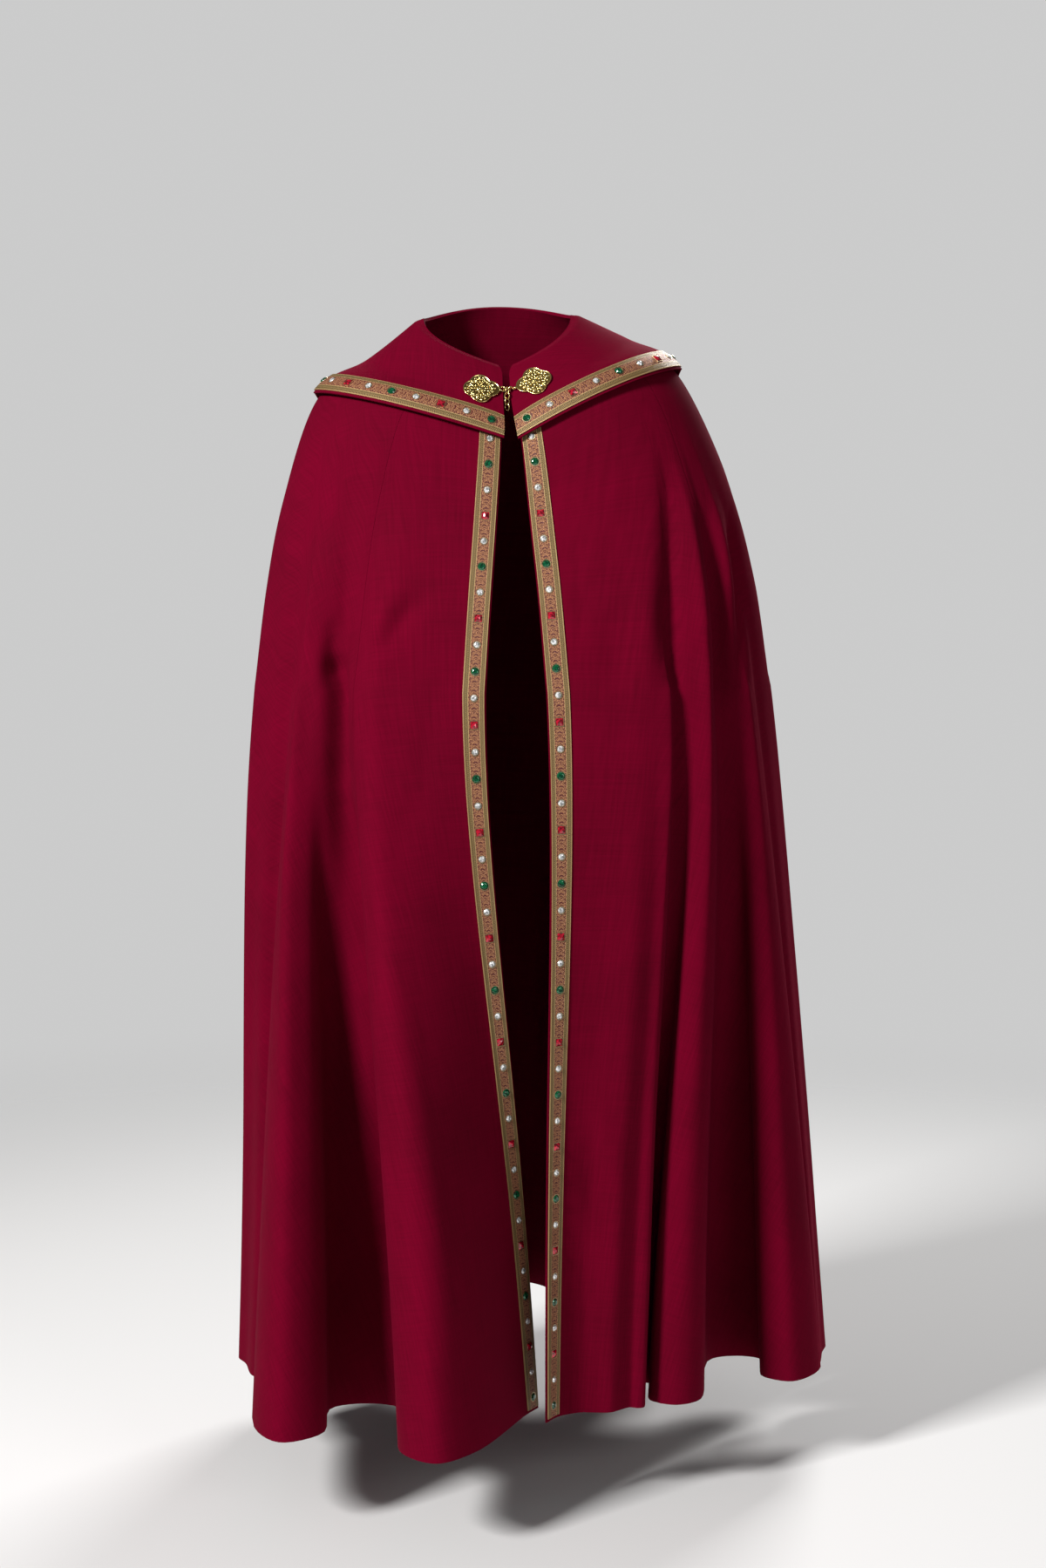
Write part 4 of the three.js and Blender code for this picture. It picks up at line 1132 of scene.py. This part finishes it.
def galloonBraid():
    material, tree, shader = newFinish("galloonBraid")
    flat, look = flatPlace(tree), braid
    x, y = splitXY(flat)
    stray = minus(noiseAt(flat, look["wobbleAcross"], 1.0), 0.5)
    strayDown = minus(noiseAt(stretched(flat, 1, 1.3), look["wobbleDown"], 1.0), 0.5)
    across, down = minus(times(x, 1000), look["half"]), times(y, 1000)
    side = calc("ABSOLUTE", across)
    loose = calc("ABSOLUTE", calc("MULTIPLY_ADD", stray, look["wobble"], across))
    cell = calc("MODULO", calc("MULTIPLY_ADD", strayDown, look["wobble"], down), look["repeat"])
    scroll = mapRange(scrollDistance(loose, cell), look["stroke"] + look["strokeEdge"],
                      look["stroke"] - look["strokeEdge"])
    centre = blendColours(scroll, look["ground"], look["scroll"])
    fromMiddle = calc("ABSOLUTE", minus(side, look["rowsMiddle"]))
    slant = calc("MULTIPLY_ADD", fromMiddle, look["slope"], down)
    rungs = calc("SINE", times(slant, 2 * math.pi / look["rung"]))
    rows = between(fromMiddle, look["rowGap"], look["rowOut"], look["edge"])
    # The ribs' colour is painted light on their tops and dark down into the slots between them: painted
    # shade, while the same relief also drives the bump
    slots = times(mapRange(rungs, 0.0, -0.6), rows)
    raised = times(mapRange(rungs, -0.9, 0.5, 0.55, 1.0), minus(1.0, slots))
    rim, cordEdge = look["half"] - look["cord"], look["cordEdge"]
    cords = calc("MAXIMUM", mapRange(side, rim - cordEdge, rim + cordEdge),
                 between(side, look["border"], look["border"] + look["cord"], cordEdge))
    # Painted shade: the slot shade colour fills the low parts of the ribs, the gold their tops
    border = blendColours(cords, blendColours(raised, look["slotShade"], look["gold"]), look["cordGold"])
    isBorder = mapRange(side, look["border"] - look["edge"], look["border"] + look["edge"])
    height = calc("MULTIPLY_ADD", isBorder, minus(calc("MAXIMUM", raised, cords), scroll), scroll)
    height = plus(height, times(noiseAt(stretched(flat, 1, 3), look["threadScale"], 1.0),
                                look["threadHeight"]))
    feed(shader, {"Base Color": blendColours(isBorder, centre, border), "Roughness": look["roughness"],
                  "Metallic": calc("MULTIPLY", height, look["metal"], clamp=True)})
    bump(shader, height, look["bump"], look["bumpHigh"])
    return material


# How far the painted shade darkens and the painted glints lighten each glass's colour
glass = {"dark": 0.35, "light": 1.5, "roughness": 0.06, "coatRoughness": 0.03}


def gemFinish(name, colour, metallic):
    material, tree, shader = newFinish(name)
    # The glass colour is painted darker and lighter in flashes: painted shade and painted glints
    paintedFlash = placeGroup(paintedGlassFlashes, Place=objectPlace(tree))["PaintedFlash"]
    low, high = (tuple(min(1.0, c * glass[end]) for c in colour) + (1,) for end in ("dark", "light"))
    feed(shader, {"Base Color": blendColours(paintedFlash, low, high), "Metallic": metallic,
                  "Roughness": glass["roughness"], "Coat Weight": 1.0,
                  "Coat Roughness": glass["coatRoughness"]})
    return material


giltWorn = {"roughSpread": 0.25, "bump": 0.25, "bumpHigh": 0.0002}


def giltFinish(name, bright, shadeAndTarnish, roughness):
    material, tree, shader = newFinish(name)
    hollow = tree.nodes.new("ShaderNodeNewGeometry").outputs["Pointiness"]
    giltMarks = placeGroup(giltShadeAndTarnish, Place=objectPlace(tree), Hollow=hollow)
    roughest = roughness + giltWorn["roughSpread"]
    # Gilt is painted darker in its hollows as painted shade, and darker in tarnish patches
    feed(shader, {"Base Color": blendColours(giltMarks["FreeOfShadeAndTarnish"], shadeAndTarnish, bright), "Metallic": 1.0,
                  "Roughness": mapRange(giltMarks["FreeOfShadeAndTarnish"], 0.0, 1.0, roughest, roughness)})
    bump(shader, giltMarks["Grain"], giltWorn["bump"], giltWorn["bumpHigh"])
    return material


def dressAll():
    bands = [band["piece"] for band in (rightBand, leftBand, collarBand)]
    for finish, pieces in (
            (crimsonCloth(), (rightFront, back, leftFront, collar)),
            (galloonBraid(), bands),
            (gemFinish("greenGlass", (0.0, 0.085, 0.03), 0.3), [stones["green"]]),
            (gemFinish("redGlass", (0.38, 0.004, 0.02), 0.3), [stones["red"]]),
            (gemFinish("clearGlass", (0.85, 0.88, 0.84), 0.45), [stones["clear"]]),
            (giltFinish("paleGilt", (0.62, 0.50, 0.30, 1), (0.30, 0.22, 0.11, 1), 0.3), [stones["rim"]]),
            (giltFinish("polishedGilt", (0.86, 0.68, 0.27, 1), (0.30, 0.19, 0.05, 1), 0.2), gilt),
            # The plates' sunk floor and pit bead: dark gilt painted as the shade in the openwork and the pit
            (giltFinish("shadedSunkGilt", (0.20, 0.14, 0.04, 1), (0.06, 0.035, 0.01, 1), 0.4), plates)):
        for piece in pieces:
            piece.data.materials.append(finish)


dressAll()
print("finishes made")

# Studio: a floor that fades out with distance, an even backdrop and a faint glow
studio = {"floorZ": -1.53, "floorSize": 6, "floor": (0.72, 0.71, 0.70, 1), "floorRoughness": 0.85,
          "fadeStart": 1.9, "fadeEnd": 3.6, "backdrop": (0.60, 0.60, 0.60, 1),
          "glow": (0.95, 0.97, 1.0, 1), "glowStrength": 0.12}
lights = table(
    ["name", "place", "aim", "size", "spread", "watts"],
    [
        ["key", (-3.2, -3.3, 2.2), (0.05, 0.0, -0.6), 1.1, 130, 215],
        ["fill", (2.3, -3.4, 0.4), (0.1, 0.0, -0.6), 1.8, 120, 15],
        ["rim", (1.4, 3.0, 1.9), (0.0, 0.0, -0.6), 1.6, 120, 62],
    ],
)


def makeFloor():
    bm = bmesh.new()
    bmesh.ops.create_grid(bm, x_segments=1, y_segments=1, size=studio["floorSize"])
    bmesh.ops.translate(bm, vec=(0, 0, studio["floorZ"]), verts=bm.verts)
    floor = newPiece("floor", newMesh("floor", bm))
    material, tree, shader = newFinish("paleFloor")
    away = tree.nodes.new("ShaderNodeVectorMath")
    away.operation = "LENGTH"
    feed(away, {0: objectPlace(tree)})
    fade = mapRange(away.outputs["Value"], studio["fadeStart"], studio["fadeEnd"], 1.0, 0.0)
    feed(shader, {"Base Color": studio["floor"], "Roughness": studio["floorRoughness"], "Alpha": fade})
    floor.data.materials.append(material)


def makeWorld():
    world = bpy.data.worlds.new("studio")
    world.use_nodes = True
    nodes = world.node_tree.nodes
    feed(nodes["Background"], {"Color": studio["backdrop"]})
    glow = nodes.new("ShaderNodeBackground")
    feed(glow, {"Color": studio["glow"], "Strength": studio["glowStrength"]})
    choice = nodes.new("ShaderNodeMixShader")
    feed(choice, {0: nodes.new("ShaderNodeLightPath").outputs["Is Camera Ray"], 1: glow.outputs[0],
                  2: nodes["Background"].outputs[0]})
    feed(nodes["World Output"], {"Surface": choice.outputs[0]})
    scene.world = world
    scene.view_settings.view_transform = "Standard"


def makeLights():
    for entry in lights:
        data = bpy.data.lights.new(entry["name"], "AREA")
        data.size = entry["size"]
        data.energy = entry["watts"]
        data.spread = math.radians(entry["spread"])
        lamp = bpy.data.objects.new(entry["name"], data)
        lamp.location = entry["place"]
        toward = Vector(entry["aim"]) - Vector(entry["place"])
        lamp.rotation_euler = toward.to_track_quat("-Z", "Y").to_euler()
        scene.collection.objects.link(lamp)


makeFloor()
makeWorld()
makeLights()
print("studio made")
